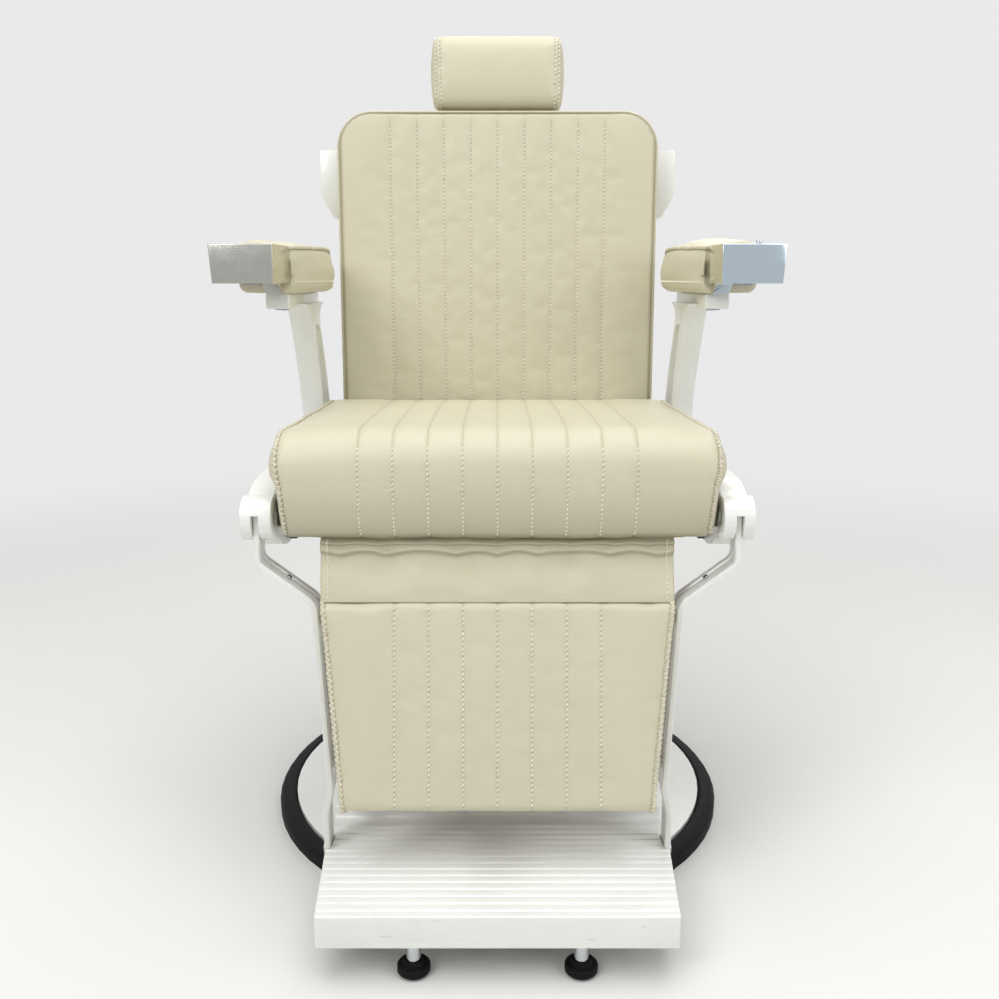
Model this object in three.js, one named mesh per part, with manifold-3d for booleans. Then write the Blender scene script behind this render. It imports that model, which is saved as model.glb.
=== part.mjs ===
// A hydraulic barber chair, in millimetres, +Z up, the sitter facing -Y.
// The origin is on the floor, on the axis that the chair turns about.
import * as THREE from "three";
import { mergeVertices } from "three/addons/utils/BufferGeometryUtils.js";
import Module from "manifold-3d";

const wasm = await Module();
wasm.setup();

// ---------------------------------------------------------------- clearances
const seatGap = 0.3; // between faces that rest on each other
const turnGap = 0.4; // round a pin or shaft that turns or slides

// ---------------------------------------------------------------- base
const baseRadius = 330;
const rimWidth = 25;
const rimHeight = 22;
const basePlateThickness = 12;
const coverThickness = 3;
const coverEdgeHeight = 11; // of the cover's edge above the plate
const coverRise = 11; // from the cover's edge to its middle
const rimLip = 3; // how far the rubber reaches in over the plate
const bearingRadius = 70;
const bearingHeight = 21.7;
const bearingBore = 40;

// ---------------------------------------------------------------- pump
const housingRadius = 52;
const housingHeight = 266;
const housingFlangeRadius = 68;
const housingFlangeThickness = 12;
const housingFloor = 36; // thickness under the bore
const spigotLength = 18;
const ramRadius = 30;
const ramBottom = 80;
const ramTop = 432.3;
const collarThickness = 12;
const collarRadius = 44;

// ---------------------------------------------------------------- pedal
const pedalAxisY = 80;
const pedalAxisZ = 82;
const pedalPinRadius = 6;
const pedalEyeRadius = 14;
const pedalEyeHalfWidth = 16;
const pedalLugThickness = 8;
const pedalArmThickness = 14;
const pedalArmDepth = 18;
const pedalArmRise = 26; // of the arm's end above the axis
const pedalTreadHalfWidth = 45;
const pedalTreadFront = 318;
const pedalTreadBack = 394;
const pedalPlateThickness = 7;
const treadThickness = 9;
const treadRibPitch = 12;

// ---------------------------------------------------------------- seat frame
const seatForward = 48; // of the zero that all parts above the pump are drawn from, ahead of the pump
const mountPlateHalf = 95;
const mountPlateThickness = 7.8;
const frameDepth = 22;
const railWidth = 25;
const innerRailX = 72; // middle of the inner rails
const outerRailX = 172; // middle of the outer rails
const frameFront = -186;
const frameBack = 146;
const frontArmY = -88; // middle of the front side arms
const backArmY = 112; // middle of the back side arms
const armFlangeHalf = 26;
const armFlangeThickness = 8;
const boardThickness = 12;
const boardGap = 5; // between the board and the shelves
const boardFront = -205;
const boardBack = 190;

// ---------------------------------------------------------------- seat cushion
const seatHalfWidth = 268;
const seatFront = -237;
const seatBack = 206;
const seatTopFront = 598;
const seatTopBack = 582;
const seatFrontRadius = 44;
const seatBottomRadius = 20;
const seatBackRadius = 18;
const seatSideRadius = 20;
const seamPitch = 41;
const seamDepth = 4;
const seatSeams = 9;

// ---------------------------------------------------------------- side castings
const castingClearance = 2; // between the cushion and the casting
const castingThickness = 33;
const railBottom = 434;
const railTop = 525;
const flangeThickness = 9;
const pocketDepth = 12;
const armRootRise = 30; // from the rail's top to where the arm is full
const armKneeDrop = 88; // from the saddle to the arm's middle
const armFrontEdge = [140, 172, 142, 103]; // y at the rail, the root, the knee and the saddle
const armBackEdge = [267, 240, 205, 166];
const shelfReach = 25; // under the cushion
const shelfThickness = 8.6;
const railPocketFront = -148;
const railPocketBack = 158;
const shelfFront = -198;
const shelfBack = 186;
const saddleOffset = 14; // outwards of the casting
const saddleFront = 15;
const saddleBack = 242;
const saddleBottom = 728;
const saddleTop = 748.7;

// ---------------------------------------------------------------- leg rest hubs
const hubY = -210;
const hubZ = 489;
const hubRadius = 27;
const hubStepIn = 2.5; // how far the hub stands proud of the casting, towards the cushion
const hubStepOut = 0.5; // and outwards
const hubSlotInset = 11.4;
const hubSlotWidth = 9.6;
const hubSlotRise = 7.5; // of the slot's top above the axis
const hubPinRadius = 6;
const hubCapRadius = 15;
const barEyeRadius = 16;

// ---------------------------------------------------------------- leg rest bars
const barThickness = 7.4;
const barFront = -22; // of the bar's front edge, from the hub axis
const barBack = 19;
const neckHalf = 15;
const barLean = 1.7; // outwards, between the hub and the elbow
const barElbowZ = 437;
const barShoulderGap = 8.7; // outwards of the leg pad's upper corners
const barShoulderZ = 386;
const barWaistInset = 2.5; // inwards of them, lower down
const barWaistZ = 140;
const barFootGap = 4.5; // outwards of them, at the footplate
const barFootZ = 108;
const barBottom = 42;
const barStep = 1.5; // height of each step on the bar's inner face
const barBossRadius = 13;

// ---------------------------------------------------------------- leg pad and skirt
const padTilt = 12; // degrees, bottom forwards
const padTopY = -247;
const padTopZ = 395;
const padLength = 248;
const padTopHalfWidth = 212;
const padTaper = 24; // how far each side draws in towards the bottom
const padThickness = 34;
const padBoardThickness = 8;
const padBoardInset = 14;
const padSeams = 7;
const crossTubeRadius = 8;
const upperTubeY = -201;
const upperTubeZ = 362;
const lowerTubeY = -212;
const lowerTubeZ = 172;
const gussetX = 132;
const gussetThickness = 6;
const skirtInset = 3; // of its sides from the leg pad's
const skirtThickness = 3;
const skirtTopY = -213;
const skirtTopZ = 455;

// ---------------------------------------------------------------- footplate
const plateTilt = 8; // degrees, front raised
const plateFrontY = -405;
const plateFrontZ = 85;
const plateLength = 272;
const plateTaper = 19.1; // how far each side draws in towards the front
const plateEdge = 0.3; // how far the plate stands proud of the bars
const plateTaperLength = 190;
const plateThickness = 8;
const heelHeight = 20; // of the upturned rear edge, above the tread
const heelThickness = 6;
const heelRadius = 13; // where it turns up from the tread
const plateLipHeight = 39.5;
const plateWall = 7;
const plateRibThickness = 6;
const footBolsterThickness = 14;
const grooveCount = 14;
const groovePitch = 17.3;
const grooveWidth = 4.6;
const grooveDepth = 1.8;
const grooveStart = 13.4;
const footX = 95;
const footY = -384;
const postRadius = 8.5;
const footRadius = 19;
const footHeight = 15.2;
const footClearance = 2; // of the rubber feet above the floor
const footBossRadius = 14;
const footBossZ = 56;
const footBoltY = -211;
const footBoltZ = 49;
const footBoltRadius = 4;
const boltHeadRadius = 7;
const boltHeadThickness = 4;

// ---------------------------------------------------------------- back
const backY = 235;
const backZ = 489;
const backLean = 2.6; // degrees
const shaftRadius = 12.5;
const bushRadius = 17;
const shaftInset = 3; // of its ends from the castings' outer faces
const bossRadius = 31;
const backHalfWidth = 246.5;
const backFace = -28; // of the cushion's front, from the shaft
const backCushionThickness = 74;
const backBottom = 36;
const backTop = 530;
const backCornerRadius = 53;
const backBoardThickness = 10;
const backBoardInset = 10;
const backSeams = 9;
const uprightX = 150;
const uprightThickness = 8;
const uprightDepth = 24;
const uprightTop = 470;
const crossBarHeight = 30;
const lowerBarZ = 110;
const upperBarZ = 420;

// ---------------------------------------------------------------- drag links
const linkX = 109; // inner face of the link
const linkThickness = 8;
const linkWidth = 14;
const linkEyeRadius = 11;
const linkPinRadius = 5;
const crankY = 25; // crank pin, from its shaft
const crankZ = -88;
const crankThickness = 10;
const crankHubRadius = 21;

// ---------------------------------------------------------------- recline brake and lever
const leverY = 206;
const leverZ = 454;
const spindleRadius = 6;
const brakeWidth = 56;
const brakeRingRadius = 25;
const brakeEarRadius = 12;
const brakeSplit = 4;
const leverArmThickness = 7;
const leverArmLength = 92;
const gripRadius = 10;
const gripLength = 74;

// ---------------------------------------------------------------- arm pads and blocks
const armPadOverhang = 26.5; // inwards of the casting, at its widest place
const armPadWidestY = 110;
const armPadFrontDraw = 35; // how far the inner side draws out to the front end
const armPadBackDraw = 26;
const armPadWidth = 106.5;
const armPadBottom = 749;
const armPadTop = 820;
const armPadFall = 14; // from the crest to the back end
const armPadBack = 248;
const blockInset = 24.5; // of its inner side from the casting's outer face
const blockWidth = 80.2;
const blockBottom = 763;
const blockTop = 811;
const blockFront = -105;
const blockBack = 4;
const blockBevel = 1.2;
const tongueHalfWidth = 11;
const tongueThickness = 10;
const tongueBack = 120;
const knobRadius = 4.5;
const knobHeight = 6;
const knobInset = 22.7; // from the block's outer side
const knobY = -52;

// ---------------------------------------------------------------- headrest, handle
const headHalfWidth = 100;
const headBottom = 533; // from the back's shaft, along the back
const headHeight = 100;
const headThickness = 55;
const headFace = -28;
const headBoardThickness = 8;
const headAxisY = 50;
const headAxisZ = 586;
const headPinRadius = 5;
const postHalfWidth = 14;
const postThickness = 7;
const postFront = 60;
const postBottom = 300;
const guideTop = 500;
const guideBottom = 410;
const guideWall = 4;
const bracketGap = 3.5; // beside the back cushion
const bracketWidth = 31;
const bracketBottom = 378;
const bracketTop = 480;
const railRadius = 10;
const railY = 108;
const railZ = 440;

// ---------------------------------------------------------------- sizes that follow from the ones above
const deg = Math.PI / 180;
const plateTop = basePlateThickness + seatGap;
const rimInner = baseRadius - rimWidth;
const housingBottom = plateTop + bearingHeight + seatGap;
const housingTop = housingBottom + housingHeight;
const ramBore = ramRadius + turnGap;
const mountPlateZ = ramTop + seatGap;
const frameBottom = mountPlateZ + mountPlateThickness + seatGap;
const frameTop = frameBottom + frameDepth;
const boardBottom = frameTop + seatGap;
const seatBottom = boardBottom + boardThickness + seatGap;
// the arm's edges as (y, z), from the rail up to the saddle
const armHeights = [railTop, railTop + armRootRise, saddleBottom - armKneeDrop, saddleBottom - 5];
const armFrontLine = armFrontEdge.map((y, i) => [y, armHeights[i]]);
const armBackLine = armBackEdge.map((y, i) => [y, [backZ, armHeights[1], armHeights[2], saddleBottom - 26][i]]);
const castingInner = seatHalfWidth + castingClearance;
const castingOuter = castingInner + castingThickness;
const shelfInner = seatHalfWidth - shelfReach;
const boardHalfWidth = shelfInner - boardGap;
const saddleX = castingInner + saddleOffset + castingThickness / 2;
const hubInner = castingInner - hubStepIn;
const hubOuter = castingOuter + hubStepOut;
const hubSlotInner = castingInner + hubSlotInset;
const hubSlotOuter = hubSlotInner + hubSlotWidth;
const shaftHalfLength = castingOuter - shaftInset;
const brakeInner = castingInner - brakeWidth;
const armPadInner = castingInner - armPadOverhang;
const armPadOuter = armPadInner + armPadWidth;
const blockInner = castingOuter - blockInset;
const blockOuter = blockInner + blockWidth;
const knobX = blockOuter - knobInset;
const padBottomHalfWidth = padTopHalfWidth - padTaper;
const skirtHalfWidth = padTopHalfWidth - skirtInset;
const barMiddleX = (hubSlotInner + hubSlotOuter) / 2;
const barTopX = barMiddleX + barLean;
const barShoulderX = padTopHalfWidth + barShoulderGap;
const barWaistX = padTopHalfWidth - barWaistInset;
const barFootX = padTopHalfWidth + barFootGap;
const plateBackHalf = barFootX + barThickness / 2 + plateEdge;
const plateFrontHalf = plateBackHalf - plateTaper;
const bracketInner = backHalfWidth + bracketGap;
const bracketOuter = bracketInner + bracketWidth;
const boardPlane = backFace + backCushionThickness + seatGap;
const frameFace = boardPlane + backBoardThickness + seatGap;
const crossBarFace = postFront + postThickness + turnGap + guideWall + seatGap;

// ---------------------------------------------------------------- materials
const finish = (color, roughness, metalness) => new THREE.MeshStandardMaterial({ color, roughness, metalness });
const vinyl = finish(0xd8d1b4, 0.55, 0);
const whitePaint = finish(0xf4f5f0, 0.3, 0);
const blackRubber = finish(0x161616, 0.7, 0);
const brightMetal = finish(0xc8ccd0, 0.18, 1);
const steel = finish(0x8d9094, 0.35, 1);
const blackPaint = finish(0x25272a, 0.5, 0);
const board = finish(0xa98a5c, 0.7, 0);
const bronze = finish(0xb08d57, 0.4, 1);

// ---------------------------------------------------------------- solids
function solidOf(geometry) {
  const bare = new THREE.BufferGeometry();
  bare.setAttribute("position", geometry.getAttribute("position").clone());
  if (geometry.index) bare.setIndex(geometry.index.clone());
  const merged = mergeVertices(bare, 1e-4);
  const vertProperties = new Float32Array(merged.attributes.position.array);
  const triVerts = new Uint32Array(merged.index.array);
  return new wasm.Manifold(new wasm.Mesh({ numProp: 3, vertProperties, triVerts }));
}

function geometryOf(solid) {
  const mesh = solid.getMesh();
  const geometry = new THREE.BufferGeometry();
  geometry.setAttribute("position", new THREE.BufferAttribute(new Float32Array(mesh.vertProperties), 3));
  geometry.setIndex(new THREE.BufferAttribute(new Uint32Array(mesh.triVerts), 1));
  return geometry;
}

const join = (first, ...others) =>
  geometryOf(others.reduce((solid, other) => solid.add(solidOf(other)), solidOf(first)));
const cut = (first, ...tools) =>
  geometryOf(tools.reduce((solid, tool) => solid.subtract(solidOf(tool)), solidOf(first)));
const common = (first, second) => geometryOf(solidOf(first).intersect(solidOf(second)));

// The same piece for the other side of the chair.
function mirrored(geometry) {
  const copy = mergeVertices(geometry.clone(), 1e-4).applyMatrix4(new THREE.Matrix4().makeScale(-1, 1, 1));
  const index = copy.index.array;
  for (let i = 0; i < index.length; i += 3) [index[i + 1], index[i + 2]] = [index[i + 2], index[i + 1]];
  return copy;
}

const block = (x0, x1, y0, y1, z0, z1) =>
  new THREE.BoxGeometry(x1 - x0, y1 - y0, z1 - z0).translate((x0 + x1) / 2, (y0 + y1) / 2, (z0 + z1) / 2);

const rodZ = (radius, x, y, z0, z1, sides = 18) =>
  new THREE.CylinderGeometry(radius, radius, z1 - z0, sides).rotateX(Math.PI / 2).translate(x, y, (z0 + z1) / 2);

const rodX = (radius, x0, x1, y, z, sides = 18) =>
  new THREE.CylinderGeometry(radius, radius, x1 - x0, sides).rotateZ(Math.PI / 2).translate((x0 + x1) / 2, y, z);

// A side view drawn in (y, z) and given thickness along x.
function acrossX(shape, x0, x1, bevel = 0, curveSegments = 8) {
  const geometry = new THREE.ExtrudeGeometry(shape, {
    depth: x1 - x0 - 2 * bevel,
    bevelEnabled: bevel > 0,
    bevelSize: bevel,
    bevelThickness: bevel,
    bevelOffset: -bevel,
    bevelSegments: 1,
    curveSegments,
  });
  const turn = new THREE.Matrix4().set(0, 0, 1, x0 + bevel, 1, 0, 0, 0, 0, 1, 0, 0, 0, 0, 0, 1);
  return geometry.applyMatrix4(turn);
}

// A plan drawn in (x, y) and given height along z.
const upZ = (shape, z0, z1, curveSegments = 8) =>
  new THREE.ExtrudeGeometry(shape, { depth: z1 - z0, bevelEnabled: false, curveSegments }).translate(0, 0, z0);

const outline = (points) => new THREE.Shape(points.map(([a, b]) => new THREE.Vector2(a, b)));

// A profile in (radius, z), turned about the z axis.
const turned = (points, segments = 32) =>
  new THREE.LatheGeometry(points.map(([r, z]) => new THREE.Vector2(r, z)), segments).rotateX(Math.PI / 2);

// An outline whose corners are eased by a curve that starts this far from each of them.
function roundedOutline(points, ease) {
  const corners = points.map(([a, b]) => new THREE.Vector2(a, b));
  const shape = new THREE.Shape();
  corners.forEach((corner, i) => {
    const before = corners[(i + corners.length - 1) % corners.length].clone().sub(corner).setLength(ease).add(corner);
    const after = corners[(i + 1) % corners.length].clone().sub(corner).setLength(ease).add(corner);
    if (i === 0) shape.moveTo(before.x, before.y);
    else shape.lineTo(before.x, before.y);
    shape.quadraticCurveTo(corner.x, corner.y, after.x, after.y);
  });
  return shape;
}

function roundedBox(a0, a1, b0, b1, radius) {
  const shape = new THREE.Shape();
  shape.moveTo(a0 + radius, b0);
  shape.lineTo(a1 - radius, b0);
  shape.absarc(a1 - radius, b0 + radius, radius, -Math.PI / 2, 0);
  shape.lineTo(a1, b1 - radius);
  shape.absarc(a1 - radius, b1 - radius, radius, 0, Math.PI / 2);
  shape.lineTo(a0 + radius, b1);
  shape.absarc(a0 + radius, b1 - radius, radius, Math.PI / 2, Math.PI);
  shape.lineTo(a0, b0 + radius);
  shape.absarc(a0 + radius, b0 + radius, radius, Math.PI, 1.5 * Math.PI);
  return shape;
}

// A closed skin through rings of equal point counts, with a fan over each end.
function loft(rings) {
  const count = rings[0].length;
  const positions = rings.flat().flatMap((point) => [point.x, point.y, point.z]);
  const index = [];
  for (let i = 0; i + 1 < rings.length; i++)
    for (let j = 0; j < count; j++) {
      const a = i * count + j;
      const b = i * count + ((j + 1) % count);
      index.push(a, b, b + count, a, b + count, a + count);
    }
  const caps = [
    [0, true],
    [rings.length - 1, false],
  ];
  for (const [ring, first] of caps) {
    const centre = rings[ring].reduce((sum, point) => sum.add(point), new THREE.Vector3()).divideScalar(count);
    const middle = positions.length / 3;
    positions.push(centre.x, centre.y, centre.z);
    for (let j = 0; j < count; j++) {
      const a = ring * count + j;
      const b = ring * count + ((j + 1) % count);
      index.push(...(first ? [middle, b, a] : [middle, a, b]));
    }
  }
  // the faces point outwards whichever way round the rings run
  const corner = (i) => new THREE.Vector3().fromArray(positions, 3 * index[i]);
  let volume = 0;
  for (let i = 0; i < index.length; i += 3) volume += corner(i).dot(corner(i + 1).cross(corner(i + 2)));
  if (volume < 0) index.reverse();
  const geometry = new THREE.BufferGeometry();
  geometry.setAttribute("position", new THREE.Float32BufferAttribute(positions, 3));
  geometry.setIndex(index);
  return geometry;
}

// ---------------------------------------------------------------- padded forms
// How far an edge of this radius has dropped at a place that lies t inside it.
const edgeDrop = (inside, radius) =>
  inside >= radius ? 0 : radius - Math.sqrt(Math.max(0, radius * radius - (radius - inside) ** 2));

const seamPlaces = (count, pitch) => Array.from({ length: count }, (_, i) => (i - (count - 1) / 2) * pitch);

// The valley at each sewn line: nothing half a channel away, and its full depth on the line.
function seamDip(x, seams, pitch, depth) {
  const nearest = Math.min(Infinity, ...seams.map((seam) => Math.abs(x - seam)));
  return nearest >= pitch / 2 ? 0 : depth * (1 - nearest / (pitch / 2)) ** 2;
}

// Places along the form: on each seam, beside it and between seams, and closer together at the ends.
function formStations(halfLength, endRadius, seams, pitch, endSteps = 4) {
  const places = [];
  for (const seam of seams) places.push(seam - pitch / 3, seam, seam + pitch / 3);
  const bare = seams.length ? seams[seams.length - 1] + pitch : 0;
  for (let x = bare; x < halfLength - endRadius - 5; x += pitch) places.push(x, -x);
  for (let i = 0; i <= endSteps; i++) {
    const x = halfLength - endRadius + endRadius * Math.sin((i / endSteps) * 90 * deg);
    places.push(x, -x);
  }
  const unique = [...new Set(places.map((x) => Math.round(x * 1000) / 1000))];
  return unique.filter((x) => Math.abs(x) <= halfLength + 1e-6).sort((a, b) => a - b);
}

// A padded form that runs along x. extent(x) gives its sides there: front, back, bottom and top.
// radii are those of the corners, from front bottom by front top to back bottom.
function paddedForm(stations, extent, radii, sideBulge, cornerSteps = 3) {
  const halfLength = stations[stations.length - 1];
  const rings = stations.map((x) => {
    const { front, back, bottom, top, topBack = top, crown = 0 } = extent(x);
    const limit = 0.48 * Math.min(back - front, Math.min(top, topBack) - bottom);
    const [frontBottom, frontTop, backTop, backBottom] = radii.map((radius) => Math.min(radius, limit));
    const ring = [];
    const corner = (y, z, radius, from) => {
      for (let i = 0; i <= cornerSteps; i++) {
        const angle = (from - (90 * i) / cornerSteps) * deg;
        ring.push([y + radius * Math.cos(angle), z + radius * Math.sin(angle)]);
      }
    };
    corner(front + frontBottom, bottom + frontBottom, frontBottom, 270);
    ring.push([front - crown * 0.6, (bottom + top) / 2]);
    corner(front + frontTop, top - frontTop, frontTop, 180);
    for (const t of [1 / 3, 2 / 3]) {
      const y = THREE.MathUtils.lerp(front + frontTop, back - backTop, t);
      ring.push([y, THREE.MathUtils.lerp(top, topBack, t) + crown]);
    }
    corner(back - backTop, topBack - backTop, backTop, 90);
    corner(back - backBottom, bottom + backBottom, backBottom, 0);
    const middle = (bottom + top) / 2;
    const half = (top - bottom) / 2;
    return ring.map(([y, z]) => {
      const pull = sideBulge * ((z - middle) / half) ** 2 * Math.abs(x / halfLength) ** 3;
      return new THREE.Vector3(x - Math.sign(x) * pull, y, z);
    });
  });
  return loft(rings);
}

// ---------------------------------------------------------------- the scene graph
const chair = new THREE.Group();
const seatGroup = new THREE.Group();
seatGroup.position.set(0, -seatForward, 0);
const piece = (parent, name, geometry, material) => {
  const mesh = new THREE.Mesh(geometry, material);
  mesh.name = name;
  parent.add(mesh);
  return mesh;
};
const pair = (parent, name, geometry, material) => {
  piece(parent, name + "_right", geometry, material);
  piece(parent, name + "_left", mirrored(geometry), material);
};

// ---------------------------------------------------------------- base
function basePlate() {
  const radius = rimInner + rimLip;
  return turned([
    [0, 0],
    [radius, 0],
    [radius, basePlateThickness],
    [0, basePlateThickness],
  ], 64);
}

// The rubber rim grips the plate's edge, and the cover stands a little above it.
function baseRim() {
  const plateEdge = rimInner + rimLip + seatGap;
  const shape = [
    [plateEdge, 0],
    [baseRadius, 0],
    [baseRadius, rimHeight * 0.6],
    [baseRadius - 4, rimHeight * 0.85],
    [baseRadius - 14, rimHeight],
    [rimInner + 5, rimHeight],
    [rimInner, rimHeight - 4],
    [rimInner, plateTop],
    [plateEdge, plateTop],
    [plateEdge, 0],
  ];
  return turned(shape, 64);
}

// A thin domed sheet over the plate, open below.
function baseCover() {
  const outer = rimInner - seatGap;
  const inner = bearingRadius + seatGap + coverThickness;
  const steps = 2;
  const dome = (r) => plateTop + coverEdgeHeight + coverRise * (1 - ((r - inner) / (outer - inner)) ** 2);
  const shape = [[outer, plateTop]];
  for (let i = 0; i <= steps; i++) {
    const r = THREE.MathUtils.lerp(outer, inner, i / steps);
    shape.push([r, dome(r)]);
  }
  for (let i = steps; i >= 0; i--) {
    const r = THREE.MathUtils.lerp(outer - coverThickness, inner, i / steps);
    shape.push([r, dome(r) - coverThickness]);
  }
  shape.push([outer - coverThickness, plateTop], [outer, plateTop]);
  return turned(shape, 64);
}

function baseBearing() {
  return turned([
    [bearingBore, plateTop],
    [bearingRadius, plateTop],
    [bearingRadius, plateTop + bearingHeight],
    [bearingBore, plateTop + bearingHeight],
    [bearingBore, plateTop],
  ]);
}

// ---------------------------------------------------------------- pump
function pumpHousing() {
  const spigot = bearingBore - turnGap;
  const flangeTop = housingBottom + housingFlangeThickness;
  const body = turned([
    [0, housingBottom - spigotLength],
    [spigot, housingBottom - spigotLength],
    [spigot, housingBottom],
    [housingFlangeRadius, housingBottom],
    [housingFlangeRadius, flangeTop],
    [housingRadius + 4, flangeTop + 3],
    [housingRadius, flangeTop + 14],
    [housingRadius, housingTop - 8],
    [housingRadius - 6, housingTop],
    [ramBore, housingTop],
    [ramBore, housingBottom + housingFloor],
    [0, housingBottom + housingFloor],
  ]);
  const lugShape = new THREE.Shape();
  lugShape.moveTo(housingRadius - 8, pedalAxisZ - pedalEyeRadius);
  lugShape.lineTo(pedalAxisY, pedalAxisZ - pedalEyeRadius);
  lugShape.absarc(pedalAxisY, pedalAxisZ, pedalEyeRadius, -Math.PI / 2, Math.PI / 2);
  lugShape.lineTo(housingRadius - 8, pedalAxisZ + 1.6 * pedalEyeRadius);
  const inner = pedalEyeHalfWidth + seatGap;
  const lug = acrossX(lugShape, inner, inner + pedalLugThickness);
  const hole = rodX(pedalPinRadius + turnGap, -60, 60, pedalAxisY, pedalAxisZ);
  return cut(join(body, lug, mirrored(lug)), hole);
}

function pumpCollar() {
  const low = housingTop + seatGap;
  return turned([
    [ramBore, low],
    [collarRadius, low],
    [collarRadius, low + collarThickness - 3],
    [collarRadius - 3, low + collarThickness],
    [ramBore, low + collarThickness],
    [ramBore, low],
  ]);
}

function pedalPin() {
  const end = pedalEyeHalfWidth + seatGap + pedalLugThickness;
  const shank = rodX(pedalPinRadius, -end - 4, end + seatGap + 1, pedalAxisY, pedalAxisZ);
  return join(shank, rodX(pedalPinRadius + 3, end + seatGap, end + 5, pedalAxisY, pedalAxisZ));
}

// A flat arm that rises over the rim to a plate for the tread.
function pedalLever() {
  const eye = rodX(pedalEyeRadius - 1, -pedalEyeHalfWidth, pedalEyeHalfWidth, pedalAxisY, pedalAxisZ);
  const half = pedalArmDepth / 2;
  const endZ = pedalAxisZ + pedalArmRise;
  const arm = new THREE.Shape();
  arm.moveTo(pedalAxisY, pedalAxisZ - half);
  arm.bezierCurveTo(pedalAxisY + 70, pedalAxisZ - half, pedalAxisY + 90, endZ - half, pedalTreadFront, endZ - half);
  arm.lineTo(pedalTreadBack - 14, endZ - 2);
  arm.lineTo(pedalTreadBack - 14, endZ + 1);
  arm.lineTo(pedalTreadFront - 20, endZ + half);
  arm.bezierCurveTo(pedalAxisY + 90, endZ + half, pedalAxisY + 60, pedalAxisZ + half, pedalAxisY, pedalAxisZ + half);
  const web = acrossX(arm, -pedalArmThickness / 2, pedalArmThickness / 2, 0, 5);
  const plan = roundedBox(-pedalTreadHalfWidth, pedalTreadHalfWidth, pedalTreadFront, pedalTreadBack, 14);
  const plate = upZ(plan, endZ, endZ + pedalPlateThickness, 5);
  const hole = rodX(pedalPinRadius + turnGap, -60, 60, pedalAxisY, pedalAxisZ);
  return cut(join(eye, web, plate), hole);
}

// The rubber tread, with raised ribs across it.
function pedalTread() {
  const low = pedalAxisZ + pedalArmRise + pedalPlateThickness + seatGap;
  const half = pedalTreadHalfWidth;
  const plan = roundedBox(-half, half, pedalTreadFront + 0.5, pedalTreadBack, 14);
  const pad = upZ(plan, low, low + treadThickness, 5);
  const grooves = [];
  for (let y = pedalTreadFront + treadRibPitch; y < pedalTreadBack - 6; y += treadRibPitch)
    grooves.push(block(-half - 5, half + 5, y - 1.6, y + 1.6, low + treadThickness - 2.5, low + treadThickness + 5));
  return cut(pad, ...grooves);
}

// ---------------------------------------------------------------- what the ram carries
const pumpRam = () => rodZ(ramRadius, 0, 0, ramBottom, ramTop, 32);

function seatMountPlate() {
  const half = mountPlateHalf;
  return upZ(roundedBox(-half, half, -half, half, 16), mountPlateZ, mountPlateZ + mountPlateThickness, 5);
}

// A welded ladder of rails, with an arm to each corner and a flange on it for the side casting.
function seatFrame() {
  const half = railWidth / 2;
  const outer = outerRailX + half;
  const reach = castingInner - seatGap;
  const parts = [];
  for (const x of [-outerRailX, -innerRailX, innerRailX, outerRailX])
    parts.push(block(x - half, x + half, frameFront, frameBack, frameBottom, frameTop));
  parts.push(block(-outer, outer, frameFront, frameFront + railWidth, frameBottom, frameTop));
  for (const y of [frontArmY, backArmY]) {
    parts.push(block(-reach, reach, y - half, y + half, frameBottom, frameTop));
    for (const side of [-1, 1]) {
      const x0 = side > 0 ? reach - armFlangeThickness : -reach;
      parts.push(block(x0, x0 + armFlangeThickness, y - armFlangeHalf, y + armFlangeHalf, frameBottom - 3, frameTop));
    }
  }
  return join(...parts);
}

const seatBoard = () =>
  upZ(
    roundedBox(-boardHalfWidth, boardHalfWidth, boardFront, boardBack, 20),
    boardBottom,
    boardBottom + boardThickness,
    4,
  );

// The seat: nine sewn lines run over its top and down its front.
function seatCushion() {
  const seams = seamPlaces(seatSeams, seamPitch);
  const stations = formStations(seatHalfWidth, seatSideRadius, seams, seamPitch);
  const extent = (x) => {
    const inside = seatHalfWidth - Math.abs(x);
    const drop = edgeDrop(inside, seatSideRadius);
    const dip = seamDip(x, seams, seamPitch, seamDepth);
    const swell = 7 * (1 - (x / seatHalfWidth) ** 4);
    return {
      front: seatFront + drop * 0.8 + dip,
      back: seatBack - drop * 0.5,
      bottom: seatBottom,
      top: seatTopFront - drop - dip - 7 + swell,
      topBack: seatTopBack - drop - dip,
      crown: 3 * (1 - dip / seamDepth),
    };
  };
  return paddedForm(stations, extent, [seatBottomRadius, seatFrontRadius, seatBackRadius, 6], 5);
}

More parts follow.
